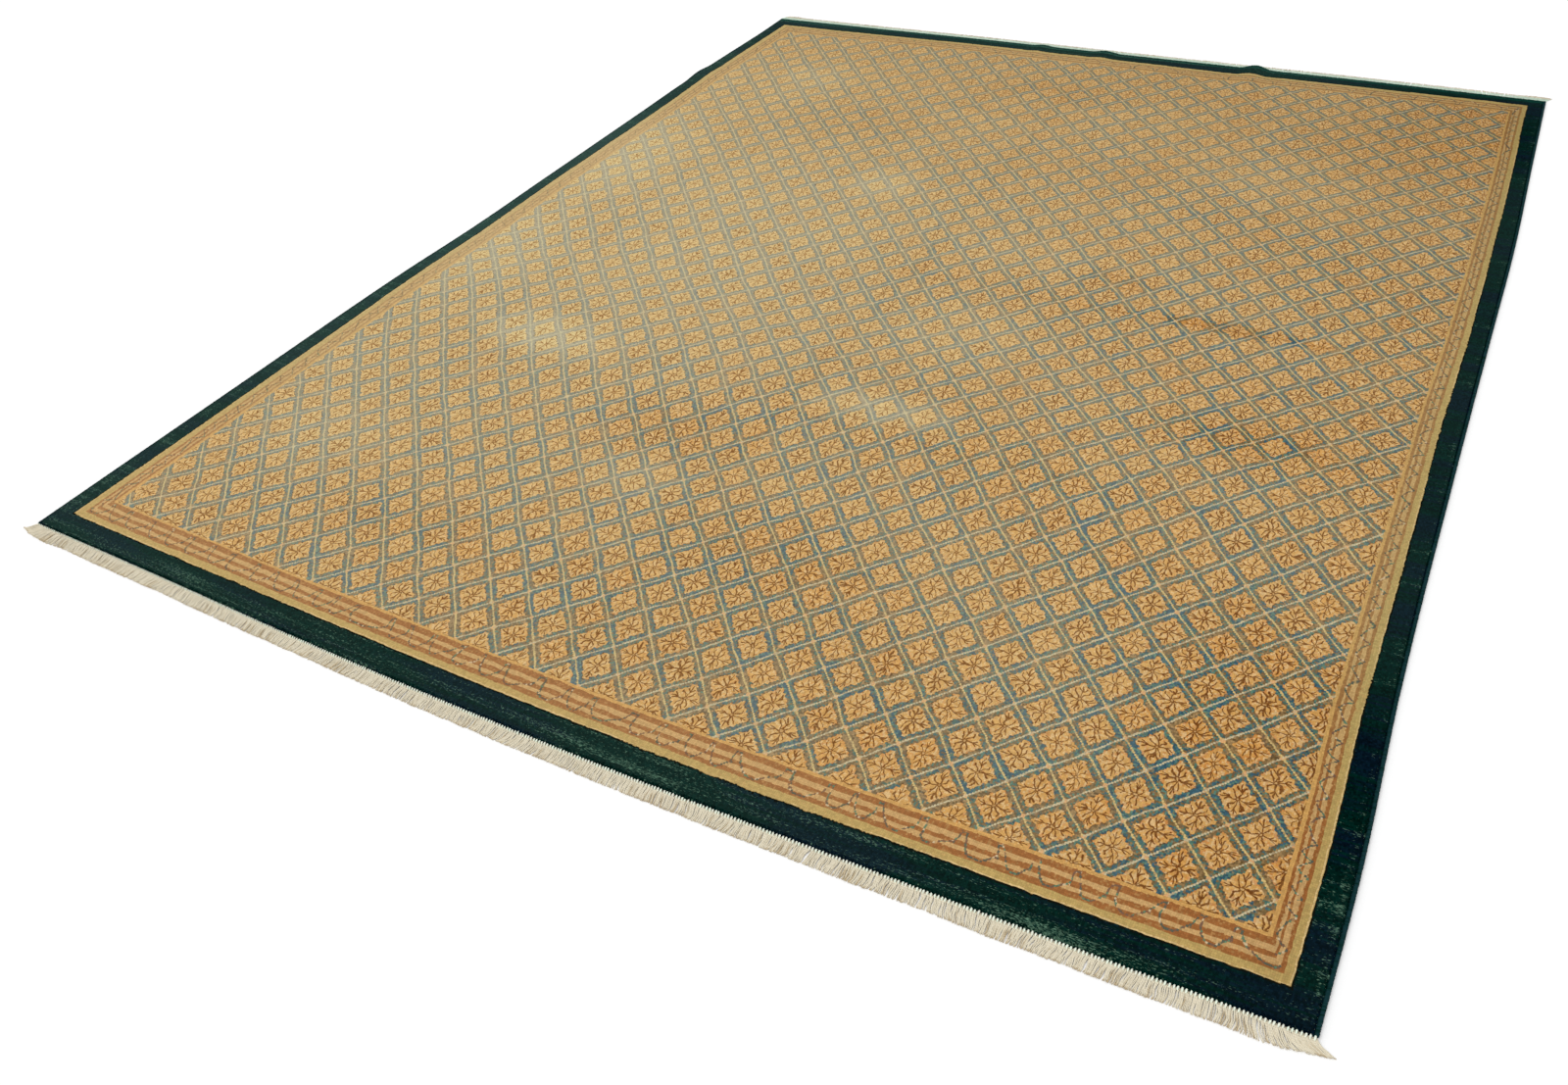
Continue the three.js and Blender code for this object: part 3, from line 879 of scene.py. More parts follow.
def woven_place(u, v):
    """A point's place in the design, where the rows have their drift taken out, in metres."""
    width, length = sizes().width, sizes().length
    drift = (1 - u) * edge_curve(ROW_DRIFT_LEFT)(v) + u * edge_curve(ROW_DRIFT_RIGHT)(v)
    return np.stack([u * width, v * length - drift], -1)


def far_press(v):
    """How much thinner the pile is pressed towards its far rim, in metres."""
    return FAR_PRESS * np.clip(1 - (1 - v) * sizes().length / FAR_PRESS_REACH, 0, 1) ** 1.5


def crease(kind, at, start, end, u, v):
    """How near a place is to a crease, from 0 to 1. The crease wanders and fades out at both ends."""
    across, along = (u, v) if kind == "long" else (v, u)
    size = sizes().width if kind == "long" else sizes().length
    off = (across - at) * size + CREASE_WANDER * np.sin(13 * along + 60 * at)
    fade = np.clip(np.minimum(along - start, end - along) / 0.06, 0, 1)
    near = np.exp(-((off / CREASE_HALF_WIDTH * 1.6) ** 2))
    return near * fade * (0.8 + 0.2 * np.sin(17 * along + 30 * at))


def crease_depth(u, v):
    """How far the creases sink the pile, in metres."""
    return MM * sum(crease(kind, at, start, end, u, v) * deep for kind, at, start, end, deep, _ in CREASES)


def border_strays(u, v):
    """How far the border's lines stray inwards at a place, in mm, from the ends and from the sides."""
    ends = np.where(v < 0.5, edge_curve(NEAR_STRAY)(u), edge_curve(FAR_STRAY)(u))
    sides = np.where(u < 0.5, edge_curve(LEFT_STRAY)(v), edge_curve(RIGHT_STRAY)(v))
    return ends / MM, sides / MM


def wear_and_painted_light(u, v):
    """How pale the pile is at a place, or below 0 how brown: fading from use, painted sheen and painted
    shade.
    """
    # Paler towards the left, the middle and the far end: partly fading from use, partly painted sheen of the
    # nap
    worn_and_painted_light = (0.16 + 0.54 * (1 - u)) * (1 - 2.2 * (v - 0.5) ** 2)
    worn_and_painted_light = worn_and_painted_light + 0.08 * np.clip((v - 0.62) / 0.34, 0, 1)
    worn_and_painted_light = worn_and_painted_light + 0.05 * np.sin(31 * v + 2.2 * np.sin(8 * u)) * np.sin(4 * u + 2)
    # Pale and darker patches: partly dye lots and fading, partly painted light and shade of gently tilted
    # panels
    for at_u, at_v, across, along, much in PATCHES:
        off_x = (u - at_u) * sizes().width / (across * MM)
        off_y = (v - at_v) * sizes().length / (along * MM)
        worn_and_painted_light = worn_and_painted_light + much * np.exp(-(np.hypot(off_x, off_y) ** 3))
    # Painted shade along each crease makes the pile darker and more brown there
    for kind, at, start, end, _, crease_shade in CREASES:
        worn_and_painted_light = worn_and_painted_light - crease(kind, at, start, end, u, v) * crease_shade
    return worn_and_painted_light


def painted_nap_shade(u, v):
    """Painted shade on the pile: darker towards the far right, where its nap leans away from the eye."""
    towards_far = (0.15 + 0.25 * u) * (v - 0.27) ** 2
    # Painted shade along the right border and the right of the field
    right_border = 0.08 * np.clip((u - 0.955) / 0.012, 0, 1)
    right_field = 0.025 * np.clip((u - 0.8) / 0.12, 0, 1)
    return 1 - 0.035 * u - towards_far - right_border - right_field


def pile_inset():
    """How far in from the plan's sides the pile begins, beside the cords."""
    return sizes().cord_width + PIECE_GAP


def stations(size, kind):
    """Shares of a size from 0 to 1, a grid step apart, closer at both ends and at one kind of crease."""
    inner = max(RIM_STATIONS)
    count = round((size - 2 * inner) / GRID_STEP)
    even = np.linspace(inner, size - inner, count + 1)
    places = sorted({row[1] for row in CREASES if row[0] == kind})
    extra = [at * size + share * CREASE_HALF_WIDTH for at in places for share in (-0.6, -0.3, 0, 0.3, 0.6)]
    spaced = [place for place in even if min(abs(place - at) for at in extra) > 0.2 * CREASE_HALF_WIDTH]
    rims = np.array(RIM_STATIONS[:-1])
    return np.concatenate([rims, np.sort(spaced + extra), size - rims[::-1]]) / size


def grid_faces(rows, columns, first=0, turned=False):
    corner = (np.arange(rows - 1)[:, None] * columns + np.arange(columns - 1)[None, :]).ravel() + first
    quads = np.stack([corner, corner + 1, corner + columns + 1, corner + columns], -1)
    return quads[:, ::-1] if turned else quads


def carpet_piece(material):
    """The carpet as one closed sheet: pile side, underside and rim."""
    inset = pile_inset()
    pile_width = sizes().width - 2 * inset
    u, v = np.meshgrid(stations(pile_width, "long"), stations(sizes().length, "cross"))
    x, y = plan_place(u, v, inset)
    lift = floor_lift(u, v)
    from_rim = np.minimum(np.minimum(u, 1 - u) * pile_width, np.minimum(v, 1 - v) * sizes().length)
    round_share = np.clip(1 - from_rim / PILE_ROUNDING, 0, 1)
    drop = (sizes().thickness - PILE_EDGE_HEIGHT) * (1 - np.sqrt(1 - round_share**2 * 0.999)) + far_press(v)
    top = np.stack([x, y, lift + sizes().thickness - drop - crease_depth(u, v)], -1).reshape(-1, 3)
    bottom = np.stack([x, y, lift], -1).reshape(-1, 3)

    rows, columns = u.shape
    count = rows * columns
    index = np.arange(count).reshape(rows, columns)
    rim = np.concatenate([index[0, :-1], index[:-1, -1], index[-1, :0:-1], index[:0:-1, 0]])
    following = np.roll(rim, -1)
    side = np.stack([rim + count, following + count, following, rim], -1)
    faces = np.concatenate([grid_faces(rows, columns), grid_faces(rows, columns, count, True), side])
    piece = new_piece("carpet", np.concatenate([top, bottom]).tolist(), faces.tolist(), material)

    # Both sides carry the same design, read at shares of the whole width
    true_u = (inset + u * pile_width) / sizes().width
    place = woven_place(true_u, v).reshape(-1, 2)
    set_map(piece, "plan", np.concatenate([place, place]))
    end_stray, side_stray = border_strays(true_u, v)
    # These carry the paleness from fading and painted sheen, the nap's painted shade, and the border's strays
    shades = {
        "worn_and_painted_light": wear_and_painted_light(true_u, v), "painted_shade": painted_nap_shade(true_u, v),
        "end_stray": end_stray, "side_stray": side_stray,
    }
    for name, values in shades.items():
        set_attribute(piece, name, np.tile(values.ravel(), 2))
    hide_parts("rug_body")
    return piece


def ring_faces(rings, sides, first):
    """The quads of a tube and its two end faces, for tubes that start at the given vertices."""
    first = np.asarray(first)[:, None]
    corner = np.arange(rings - 1)[:, None] * sides + np.arange(sides)[None, :]
    across = np.arange(rings - 1)[:, None] * sides + (np.arange(sides) + 1)[None, :] % sides
    quads = np.stack([corner, across, across + sides, corner + sides], -1).reshape(-1, 4)
    quads = (quads[None] + first[:, :, None]).reshape(-1, 4)
    start = np.arange(sides)[::-1][None] + first
    end = np.arange(sides)[None] + (rings - 1) * sides + first
    return quads.tolist() + start.tolist() + end.tolist()


def tubes(centres, across, up, half_widths, half_heights, sides):
    """Tubes through centres, arrays of tubes by rings by 3. Their section is spanned by across and up."""
    turn = np.arange(sides) * 2 * np.pi / sides
    out = np.cos(turn)[None, None, :, None] * across[:, :, None, :] * half_widths[:, :, None, None]
    high = np.sin(turn)[None, None, :, None] * up[:, :, None, :] * half_heights[:, :, None, None]
    places = centres[:, :, None, :] + out + high
    count, rings = centres.shape[:2]
    faces = ring_faces(rings, sides, np.arange(count) * rings * sides)
    return places, faces


# How thick a cord is between two wraps, and the least and the most on a wrap, as shares
WRAP_VALLEY = 0.84
WRAP_RIDGES = (0.93, 1.06)
CORD_SIDES = 12

# The width of the yarn's own map round a cord, round a strand, and for each radian round a stitch
ROUND_CORD = 18 * MM
ROUND_STRAND = 6 * MM
STITCH_RADIAN = 1.5 * MM


def wrapped_cord(name, u, v, inset, out, half_width, half_height, pitch, slant, material, seed):
    """A cord wrapped in yarn that follows an edge of the plan, flat on the floor: each wrap is a ridge.

    u and v run along the edge, one of them fixed. out moves the cord's middle along Y, and inset along X.
    """
    x, y = plan_place(u, v, inset)
    count = len(x)
    lift = floor_lift(u, v)
    middle = np.stack([x, y + out, lift + half_height], -1)
    along = np.gradient(middle, axis=0)
    along[:, 2] = 0
    along /= np.linalg.norm(along, axis=1)[:, None]
    across = np.stack([along[:, 1], -along[:, 0], np.zeros(count)], -1)
    up = np.tile([0.0, 0.0, 1.0], (count, 1))
    chance = np.random.default_rng(seed)
    ridge = np.full(count, WRAP_VALLEY)
    ridge[1::2] = chance.uniform(*WRAP_RIDGES, count // 2)
    tone = np.repeat(chance.uniform(0, 1, count // 2 + 1), 2)[:count]
    widths = (half_width * ridge)[None]
    heights = (half_height * ridge)[None]
    places, faces = tubes(middle[None], across[None], up[None], widths, heights, CORD_SIDES)
    turn = np.arange(CORD_SIDES) * 2 * np.pi / CORD_SIDES
    places = places[0] + np.cos(turn)[None, :, None] * along[:, None, :] * slant
    places[:, :, 2] = np.maximum(places[:, :, 2], lift[:, None])
    piece = new_piece(name, places.reshape(-1, 3).tolist(), faces, material)
    run = np.broadcast_to((np.arange(count) * pitch / 2)[:, None], (count, CORD_SIDES))
    around = np.broadcast_to(np.arange(CORD_SIDES) / CORD_SIDES * ROUND_CORD, (count, CORD_SIDES))
    set_map(piece, "wrap", np.stack([around, run], -1).reshape(-1, 2))
    set_attribute(piece, "tone", np.repeat(tone, CORD_SIDES))
    return piece


def yarn_material(name, colour, other, spread, ply):
    """Spun yarn: two near colours from strand to strand, and plies that wind round it."""
    chart = Chart(name)
    x, y = chart.map_point("wrap")
    tone = chart.attribute("tone")
    fibre = chart.noise(x, y, 0.8, 1.6)
    plies = chart.sum("SINE", (x / 18 * ply + y / 3.2) * (2 * math.pi))
    # Painted light and shade along the winding plies, with random fibre tone
    shade = 1 + (tone - 0.5) * spread + (fibre - 0.5) * 0.35 + plies * 0.06
    chart.relief(plies * 0.5 + fibre, 0.35 * MM, 0.6)
    return chart.finish(chart.shade(chart.blend(tone, colour, other), shade), 0.9, 0.01, 0.05)


FRINGE_SHADOW = dye(178, 158, 122)


def fringe_material(name, root, until):
    """Cotton warp ends: cream, darker at random and by painted shadow, another colour some mm from the rug.
    """
    chart = Chart(name)
    x, y = chart.map_point("wrap")
    fibre = chart.noise(x, y, 0.7, 2.2)
    plies = chart.sum("SINE", (x / 6 + y / 3.6) * (2 * math.pi))
    # The darker colour goes on darker strands at random and on the painted shadow between locks and at tips
    darker = chart.rise(chart.attribute("tone"), 0.45, 0.95) * 0.85
    at_root = chart.rise(y, until + 6, until - 6)
    colour = chart.layers(colours().cream, (darker, FRINGE_SHADOW), (at_root, root))
    # Painted light and shade along the winding plies, with random fibre tone
    shade = 1.0 + (fibre - 0.5) * 0.3 + plies * 0.05
    chart.relief(plies * 0.6 + fibre, 0.3 * MM, 0.7)
    return chart.finish(chart.shade(colour, shade), 0.88, 0.15, 0.15)


def eased(share):
    return share * share * (3 - 2 * share)


def uneven_shares(chance, count, loose):
    """Shares of an edge, one in each of its equal steps, up to a loose part of a step from the middle."""
    return (np.arange(count) + chance.uniform(0.5 - loose, 0.5 + loose, count)) / count


def end_places(end, share):
    """X, Y and the lift off the floor along one end, and which way along Y leads outwards."""
    v = np.full(len(share), float(end == "far"))
    x, y = plan_place(share, v)
    return x, y, floor_lift(share, v), 1 if end == "far" else -1


def soft_steps(chance, share, steps):
    """Smooth noise from -1 to 1 along an end, with that many steps."""
    values = chance.uniform(-1, 1, steps + 2)
    at = share * steps
    i = np.clip(at.astype(int), 0, steps)
    p = eased(at - i)
    return values[i] * (1 - p) + values[i + 1] * p


STRANDS_PER_END = 2000
STRAND_SIDES = 5
# A strand's thickness at each of its rings, from its root to its tip
STRAND_TAPER = np.array([0.9, 1.05, 1, 1, 0.98, 0.92, 0.72])
# How far a strand may lie on top of others
STRAND_LAYERS = 1.5 * MM
# How much painted shadow, in the darker colour, a tip has
TIP_SHADE = 0.5
LOCKS_PER_END = 260
# How far a lock's strands gather towards its middle, as a share
LOCK_PINCH = 0.12
# How much longer the strands in the middle of a corner's fan are
FAN_FULLNESS = 0.14
# How high the strands leave the end band, in mm
ROOT_HEIGHT = {"near": 2.6, "far": 5.0}
# How far past the pile's gap the strands start
STRAND_START = 0.9 * MM


def strands_piece(end, material, seed):
    """One end's fringe: single strands side by side, swaying together and fanned at the corners."""
    fringe = FRINGES[end]
    chance = np.random.default_rng(seed)
    count, locks = STRANDS_PER_END, LOCKS_PER_END
    share = uneven_shares(chance, count, 0.3)
    x, y, lift, outwards = end_places(end, share)
    fan_share = fringe["fan_width"] * MM / sizes().width
    from_left = np.maximum(0, 1 - share / fan_share)
    from_right = np.maximum(0, 1 - (1 - share) / fan_share)

    # Neighbouring strands cling together in locks
    in_lock = share * locks + 0.35 * soft_steps(chance, share, locks // 2)
    lock = np.clip(np.floor(in_lock), 0, locks - 1).astype(int)
    from_middle = np.clip(in_lock - lock - 0.5, -0.5, 0.5)

    def uneven(slow, steps, by_lock=0, by_strand=0):
        """What differs slowly along the end, and from lock to lock and from strand to strand."""
        found = slow * soft_steps(chance, share, steps)
        if by_lock:
            found = found + chance.normal(0, by_lock, locks)[lock]
        if by_strand:
            found = found + chance.normal(0, by_strand, count)
        return found

    # How each strand bends: its sway, its fan, its curl and its wave, in degrees and then in radians
    sway = fringe["sway"] * np.sin(2 * np.pi * fringe["sway_waves"] * share)
    sway = sway + uneven(6, 38) + uneven(5, 110, 1.5, 2.5)
    sway = np.radians(sway * (1 - np.maximum(from_left, from_right)))
    fan = np.radians(fringe["left_fan"] * from_left + fringe["right_fan"] * from_right)
    curl = np.radians(uneven(12, 70, 2, 4))
    wave = np.radians(12 + uneven(8, 90, 0, 3))
    phase = np.pi + uneven(np.pi, 45, 0, 0.5)
    reach = fringe["reach"] * MM * np.minimum(1 / np.cos(sway), 1.2) * (1 + 0.1 * np.sin(fan) ** 2)
    reach *= 1 + uneven(0.03, 24, 0.012)
    reach *= 1 + chance.uniform(-0.04, 0.02, count)
    reach *= 1 + FAN_FULLNESS * 4 * (from_right * (1 - from_right) + from_left * (1 - from_left))

    # From here on, rows are strands and columns are their rings
    rings = len(STRAND_TAPER)
    t = np.linspace(0, 1, rings)[None]
    angle = sway[:, None] * (0.8 + 0.35 * t) + fan[:, None] * (0.55 + 0.75 * t)
    angle = angle + curl[:, None] * (t - 0.45) + wave[:, None] * np.sin(7 * t + phase[:, None])
    step = reach[:, None] / (rings - 1)
    middle_angle = (angle[:, 1:] + angle[:, :-1]) / 2
    run_x = np.pad(np.cumsum(np.sin(middle_angle) * step, 1), ((0, 0), (1, 0)))
    run_y = np.pad(np.cumsum(np.cos(middle_angle) * step, 1), ((0, 0), (1, 0)))
    gathered = from_middle * LOCK_PINCH * sizes().width / locks * (1 - from_left - from_right)
    run_x = run_x - gathered[:, None] * np.sin(np.pi * np.clip(t * 1.15, 0, 1))
    radius = sizes().strand_width / 2 * chance.uniform(0.85, 1.15, count)[:, None]
    layer = chance.uniform(0, 1, count)[:, None] ** 1.5 * STRAND_LAYERS
    rest = radius * 0.95 + layer * (1 - 0.5 * t)
    root_height = (ROOT_HEIGHT[end] + chance.uniform(-0.5, 0.5, count))[:, None] * MM
    height = rest + (root_height - rest) * (1 - eased(np.clip(t / 0.5, 0, 1))) + lift[:, None] * (1 - t)
    out = outwards * (PIECE_GAP + STRAND_START + run_y)
    centres = np.stack([x[:, None] + run_x, y[:, None] + out, height], -1)
    across = np.stack([-outwards * np.cos(angle), np.sin(angle), np.zeros_like(angle)], -1)
    up = np.zeros_like(across)
    up[..., 2] = 1
    taper = STRAND_TAPER[None] * radius
    places, faces = tubes(centres, across, up, taper, taper * 0.92, STRAND_SIDES)
    piece = new_piece(f"strands_{end}", places.reshape(-1, 3).tolist(), faces, material)
    around = np.broadcast_to(np.arange(STRAND_SIDES) / STRAND_SIDES * ROUND_STRAND, places.shape[:3])
    run = np.broadcast_to((t * reach[:, None])[..., None], places.shape[:3])
    set_map(piece, "wrap", np.stack([around, run], -1).reshape(-1, 2))

    # Painted shadow: darker strands between two locks, and at the tips
    tone = 0.3 + uneven(0.2, 90, 0.12, 0.2) + 0.85 * np.clip(abs(from_middle) * 2 - 0.5, 0, 1)
    tone = tone[:, None] + TIP_SHADE * np.clip(t * 6 - 5, 0, 1)
    set_attribute(piece, "tone", np.broadcast_to(np.clip(tone, 0, 1)[..., None], places.shape[:3]))
    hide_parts(f"fringe_{end}")
    return piece


def start_clean():
    """Leaves nothing selected, so that an operator acts on the new piece alone."""
    for item in bpy.context.selected_objects:
        item.select_set(False)


def extruded_yarn(name, sides, rows, radii):
    """A short piece of yarn, drawn out from a polygon along rows of Y and Z, all in mm."""
    start_clean()
    path = [Vector((0, out * MM, up * MM)) for out, up in rows]
    heading = [path[min(i + 1, len(path) - 1)] - path[max(i - 1, 0)] for i in range(len(path))]
    pitch = [math.atan2(way.z, way.y) for way in heading]
    bpy.ops.mesh.primitive_circle_add(
        vertices=sides, radius=radii[0] * MM, fill_type="NGON",
        location=path[0], rotation=(math.pi / 2 + pitch[0], 0, 0),
    )
    yarn = bpy.context.object
    yarn.name = name
    bpy.ops.object.transform_apply(location=True, rotation=True, scale=True)
    bpy.ops.object.mode_set(mode="EDIT")
    bpy.ops.mesh.select_all(action="SELECT")
    for i in range(1, len(path)):
        bpy.ops.mesh.extrude_region_move(TRANSFORM_OT_translate={"value": path[i] - path[i - 1]})
        turn = Matrix.Rotation(pitch[i] - pitch[i - 1], 4, "X")
        size = Matrix.Scale(radii[i] / radii[i - 1], 4)
        about = Matrix.Translation(path[i])
        edited = bmesh.from_edit_mesh(yarn.data)
        chosen = [corner for corner in edited.verts if corner.select]
        bmesh.ops.transform(edited, matrix=about @ turn @ size @ about.inverted(), verts=chosen)
        bmesh.update_edit_mesh(yarn.data)
    bpy.ops.mesh.select_all(action="SELECT")
    bpy.ops.mesh.normals_make_consistent(inside=False)
    bpy.ops.object.mode_set(mode="OBJECT")
    return yarn


def shape_of(model):
    return np.array([corner.co for corner in model.data.vertices], float)


def copies_of(model, name, matrices, material, map_name, place, local=(0, 0)):
    """Many copies of a small model as one joined mesh. The model itself is then removed.

    The map is each copy's place plus each corner's local place.
    """
    shape = shape_of(model)
    turned = np.einsum("nij,kj->nki", matrices[:, :, :3], shape) + matrices[:, None, :, 3]
    first = np.arange(len(matrices)) * len(shape)
    by_size = {}
    for polygon in model.data.polygons:
        by_size.setdefault(len(polygon.vertices), []).append(list(polygon.vertices))
    every = []
    for size, group in by_size.items():
        every += (np.array(group)[None] + first[:, None, None]).reshape(-1, size).tolist()
    piece = new_piece(name, turned.reshape(-1, 3).tolist(), every, material)
    spread = place[:, None, :] + np.broadcast_to(local, (len(shape), 2))[None]
    set_map(piece, map_name, spread.reshape(-1, 2))
    bpy.data.objects.remove(model)
    return piece


def turned_places(x, y, z, heading, scale, lean):
    """Rows of 3 by 4 matrices: a model leaned about X, its +Y turned to a heading about Z, and scaled."""
    cos, sin = np.cos(heading), np.sin(heading)
    turn = np.zeros((len(x), 3, 3))
    turn[:, 0, 0], turn[:, 0, 1] = cos, sin
    turn[:, 1, 0], turn[:, 1, 1] = -sin, cos
    turn[:, 2, 2] = 1
    tip = np.zeros((len(x), 3, 3))
    tip[:, 0, 0] = 1
    tip[:, 1, 1], tip[:, 1, 2] = np.cos(lean), -np.sin(lean)
    tip[:, 2, 1], tip[:, 2, 2] = np.sin(lean), np.cos(lean)
    return np.concatenate([turn @ tip * scale[:, None, None], np.stack([x, y, z], -1)[:, :, None]], 2)


# A whip stitch from the pile over its edge to the end band: mm outwards from the edge and up, and its radii
STITCH_PATH = [(-0.1, 4.3), (0.6, 5.4), (1.6, 5.5), (2.6, 4.7), (3.4, 3.6), (4.2, 2.7), (4.9, 2.2)]
STITCH_RADII = [0.7, 1.15, 1.45, 1.5, 1.4, 1.2, 0.7]
# Its slant in degrees, and how much lower the far ones sit on the pressed rim
STITCH_SLANT = 3
STITCH_RISE = {"near": 0, "far": -1.8 * MM}


def stitches_piece(end, material, seed):
    """The whip stitches over one end of the pile, each from the pile down to the end band."""
    chance = np.random.default_rng(seed)
    model = extruded_yarn("stitch", 6, STITCH_PATH, STITCH_RADII)
    count = round(sizes().width / sizes().stitch_pitch)
    share = uneven_shares(chance, count, 0.1)
    x, y, lift, outwards = end_places(end, share)
    heading = np.radians(STITCH_SLANT + chance.normal(0, 4, count)) + (0 if outwards > 0 else math.pi)
    scale = chance.uniform(0.92, 1.08, count) * (0.8 + 0.2 * np.clip(share * 2, 0, 1))
    matrices = turned_places(x, y, lift + STITCH_RISE[end], heading, scale, np.zeros(count))
    shape = shape_of(model)
    local = np.stack([np.arctan2(shape[:, 2], shape[:, 0]) * STITCH_RADIAN, shape[:, 1]], -1)
    place = np.stack([share * sizes().width, np.zeros(count)], -1)
    piece = copies_of(model, f"stitches_{end}", matrices, material, "wrap", place, local)
    set_attribute(piece, "tone", np.repeat(chance.uniform(0, 1, count), len(shape)))


# One tuft from its foot inside the pile's edge to its tip: mm outwards and up, and its radii
TUFT_PATH = [(-0.8, 0.0), (0.5, 2.0), (0.9, 3.6)]
TUFT_RADII = [1.2, 1.75, 0.8]
# How far in from an edge its rows stand, how high their feet are, and how much higher further in
TUFT_ROWS = [0.4 * MM, 2.6 * MM]
TUFT_FOOT = 4.3 * MM
TUFT_CLIMB = 0.35


def edge_tufts(material, seed):
    """Single knots' tufts that stand out along the pile's four edges."""
    chance = np.random.default_rng(seed)
    model = extruded_yarn("tuft", 5, TUFT_PATH, TUFT_RADII)
    across_count = round(sizes().width / sizes().knot_across)
    along_count = round(sizes().length / sizes().knot_along)

    # Rows along the near and the far end, and one along each side: whether it runs along an end, the share
    # and the heading of its edge, and how far in it stands
    rows = [(True, 0, math.pi, back) for back in TUFT_ROWS]
    rows += [(True, 1, 0.0, back) for back in TUFT_ROWS]
    rows += [(False, 0, -math.pi / 2, TUFT_ROWS[0]), (False, 1, math.pi / 2, TUFT_ROWS[0])]
    found = []
    for at_end, edge, heading, back in rows:
        count = across_count if at_end else along_count
        share = uneven_shares(chance, count, 0.3)
        inwards = back / (sizes().length if at_end else sizes().width)
        fixed = np.full(count, edge + inwards * (1 - 2 * edge))
        u, v = (share, fixed) if at_end else (fixed, share)
        found.append((u, v, np.full(count, heading), np.full(count, back)))
    u, v, heading, back = [np.concatenate(values) for values in zip(*found)]
    count = len(u)
    x, y = plan_place(u, v, pile_inset())
    height = floor_lift(u, v) - far_press(v) + (TUFT_FOOT + back * TUFT_CLIMB)
    height = height + chance.normal(0, 0.2 * MM, count)
    heading = heading + chance.normal(0, 0.3, count)
    lean = chance.normal(0.0, 0.18, count)
    matrices = turned_places(x, y, height, heading, chance.uniform(0.85, 1.1, count), lean)
    return copies_of(model, "edge_tufts", matrices, material, "plan", woven_place(u, v))


# Operators


FLOOR_SIZE = 30.0
FLOOR_DROP = 0.2 * MM

# The room's light, and the soft key light: its strength, its spread and its turn in degrees
ROOM_LIGHT = 0.78
KEY_LIGHT = 1.3
KEY_SPREAD = 50
KEY_TURN = (28, -18, 0)

# The camera's place, its turn from +Y, its look down and its roll in degrees, and its lens in mm
CAMERA_PLACE = (1.1227, -2.5103, 1.506)
CAMERA_TURN = (-32.015, 40.046, 5.229)
CAMERA_LENS = 29.165


class RUG_OT_stage(bpy.types.Operator):
    """Adds the floor, the light and the camera"""

    bl_idname = "rug.stage"
    bl_label = "Floor, light and camera"

    def execute(self, context):
        start_clean()
        bpy.ops.mesh.primitive_plane_add(size=FLOOR_SIZE, location=(0, 0, -FLOOR_DROP))
        floor = context.object
        floor.name = "studio_floor"
        chart = Chart("studio_floor")
        floor.data.materials.append(chart.finish(colours().floor, 0.9, 0.0, 0.0))
        bpy.ops.object.transform_apply(location=True, rotation=True, scale=True)

        world = bpy.data.worlds.new("studio")
        world.use_nodes = True
        background = world.node_tree.nodes["Background"]
        background.inputs["Color"].default_value = (1, 1, 1, 1)
        background.inputs["Strength"].default_value = ROOM_LIGHT
        context.scene.world = world

        lamp = bpy.data.lights.new("studio_key", "SUN")
        lamp.energy = KEY_LIGHT
        lamp.angle = math.radians(KEY_SPREAD)
        key = bpy.data.objects.new("studio_key", lamp)
        key.rotation_euler = [math.radians(turn) for turn in KEY_TURN]
        context.scene.collection.objects.link(key)

        lens = bpy.data.cameras.new("camera")
        lens.lens = CAMERA_LENS
        lens.sensor_width = 36
        lens.clip_end = 100
        camera = bpy.data.objects.new("camera", lens)
        azimuth, down, roll = [math.radians(angle) for angle in CAMERA_TURN]
        ahead = math.cos(down)
        forward = Vector((math.sin(azimuth) * ahead, math.cos(azimuth) * ahead, -math.sin(down)))
        turn = forward.to_track_quat("-Z", "Y").to_matrix() @ Matrix.Rotation(-roll, 3, "Z")
        camera.matrix_world = Matrix.Translation(CAMERA_PLACE) @ turn.to_4x4()
        context.scene.collection.objects.link(camera)
        context.scene.camera = camera
        context.scene.view_settings.view_transform = "Standard"
        return {"FINISHED"}


class RUG_OT_carpet(bpy.types.Operator):
    """Adds the knotted carpet with its woven design"""

    bl_idname = "rug.carpet"
    bl_label = "Knotted carpet"

    def execute(self, context):
        start_clean()
        wool = pile_material()
        carpet = carpet_piece(wool)
        edge_tufts(wool, 7)
        return {"FINISHED"}


# From one wrap to the next, and how far a wrap runs along the cord on its way over
WRAP_PITCH = 2.5 * MM
WRAP_SLANT = 0.9 * MM
# How much thicker the right cord is than the left one
RIGHT_CORD_PROUD = 1.7 * MM


class RUG_OT_overcast(bpy.types.Operator):
    """Adds the navy wool wrapped round both sides"""

    bl_idname = "rug.overcast"
    bl_label = "Overcast sides"

    def execute(self, context):
        dyes = colours()
        wool = yarn_material("overcast_wool", dyes.overcast, dyes.green, 0.7, 3)
        v = np.linspace(0, 1, 2 * round(sizes().length / WRAP_PITCH) + 1)
        for side, u, proud, seed in (("left", 0.0, 0.0, 11), ("right", 1.0, RIGHT_CORD_PROUD, 12)):
            half = (sizes().cord_width + proud) / 2
            cord = wrapped_cord(
                f"overcast_{side}", np.full(len(v), u), v, half - proud, 0.0, half, sizes().cord_height / 2,
                WRAP_PITCH, WRAP_SLANT, wool, seed,
            )
            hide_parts(f"selvedge_{side}")
        return {"FINISHED"}


BAND_PITCH = 3.0 * MM
BAND_SLANT = 0.6 * MM
BAND_HALF_WIDTH = 1.9 * MM
BAND_HALF_HEIGHT = 1.5 * MM
BAND_SHADOW = dye(206, 196, 168)
STITCH_SHADOW = dye(222, 234, 218)


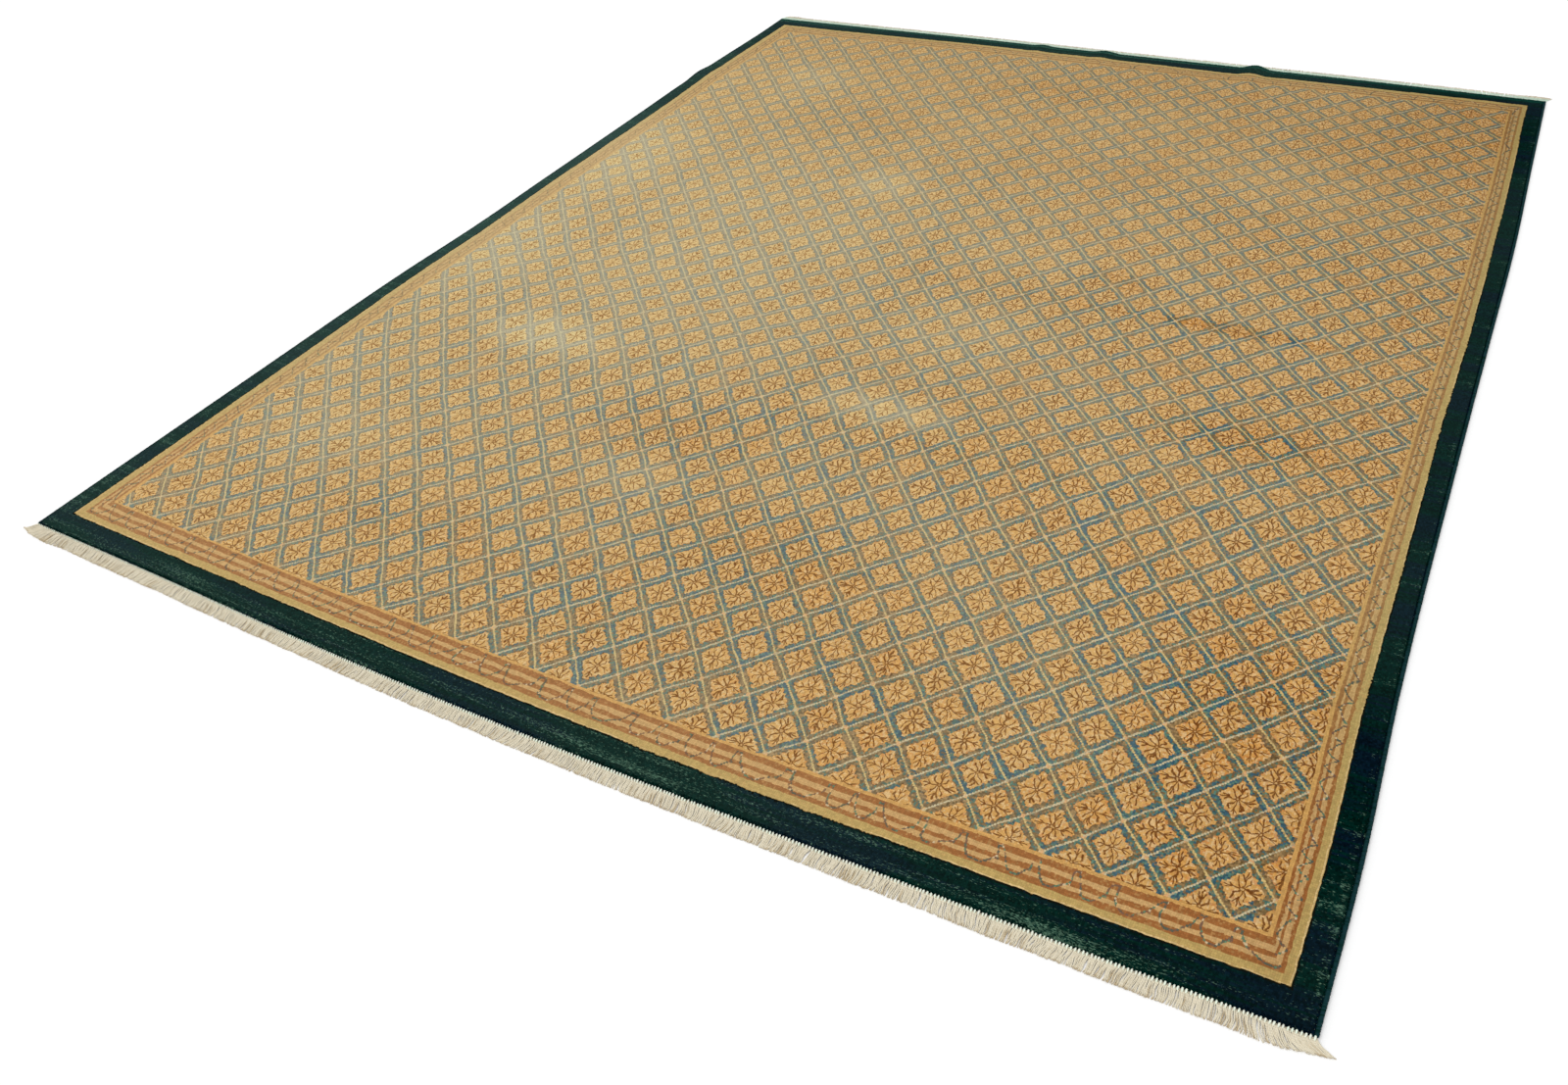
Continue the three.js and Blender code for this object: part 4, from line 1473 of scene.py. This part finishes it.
class RUG_OT_ends(bpy.types.Operator):
    """Adds the end bands and the white whip stitches over them"""

    bl_idname = "rug.ends"
    bl_label = "Bands and whip stitches"

    def execute(self, context):
        dyes = colours()
        cotton = yarn_material("band_cotton", dyes.cream, BAND_SHADOW, 0.25, 2)
        thread = yarn_material("stitch_thread", dyes.white, STITCH_SHADOW, 0.12, 2)
        u = np.linspace(0, 1, 2 * round(sizes().width / BAND_PITCH) + 1)
        for end, v, outwards, seed in (("near", 0.0, -1, 21), ("far", 1.0, 1, 22)):
            out = outwards * (PIECE_GAP + BAND_HALF_WIDTH)
            wrapped_cord(
                f"end_band_{end}", u, np.full(len(u), v), 0.0, out, BAND_HALF_WIDTH, BAND_HALF_HEIGHT,
                BAND_PITCH, BAND_SLANT, cotton, seed,
            )
            stitches_piece(end, thread, seed + 10)
        return {"FINISHED"}


class RUG_OT_fringes(bpy.types.Operator):
    """Adds the fringe at each end, strand by strand"""

    bl_idname = "rug.fringes"
    bl_label = "Fringes"

    def execute(self, context):
        dyes = colours()
        strands_piece("near", fringe_material("near_fringe_cotton", dyes.cream, 9), 41)
        strands_piece("far", fringe_material("far_fringe_cotton", dyes.mint, 26), 42)
        return {"FINISHED"}


STEPS = [RUG_OT_stage, RUG_OT_carpet, RUG_OT_overcast, RUG_OT_ends, RUG_OT_fringes]


class RUG_PT_panel(bpy.types.Panel):
    """Lists the rug's pieces in the order in which they are made"""

    bl_idname = "RUG_PT_panel"
    bl_label = "Oushak rug"
    bl_space_type = "VIEW_3D"
    bl_region_type = "UI"
    bl_category = "Rug"

    def draw(self, context):
        layout = self.layout
        for step in STEPS:
            layout.operator(step.bl_idname)
        for group in (context.scene.rug_sizes, context.scene.rug_colours):
            box = layout.box()
            for name in group.__annotations__:
                box.prop(group, name)


CLASSES = [RugSizes, RugColours, *STEPS, RUG_PT_panel]


def register():
    for part in CLASSES:
        bpy.utils.register_class(part)
    bpy.types.Scene.rug_sizes = bpy.props.PointerProperty(type=RugSizes)
    bpy.types.Scene.rug_colours = bpy.props.PointerProperty(type=RugColours)


def unregister():
    del bpy.types.Scene.rug_colours
    del bpy.types.Scene.rug_sizes
    for part in reversed(CLASSES):
        bpy.utils.unregister_class(part)


def main():
    register()
    bpy.ops.rug.stage()
    bpy.ops.rug.carpet()
    bpy.ops.rug.overcast()
    bpy.ops.rug.ends()
    bpy.ops.rug.fringes()


if __name__ == "__main__":
    main()
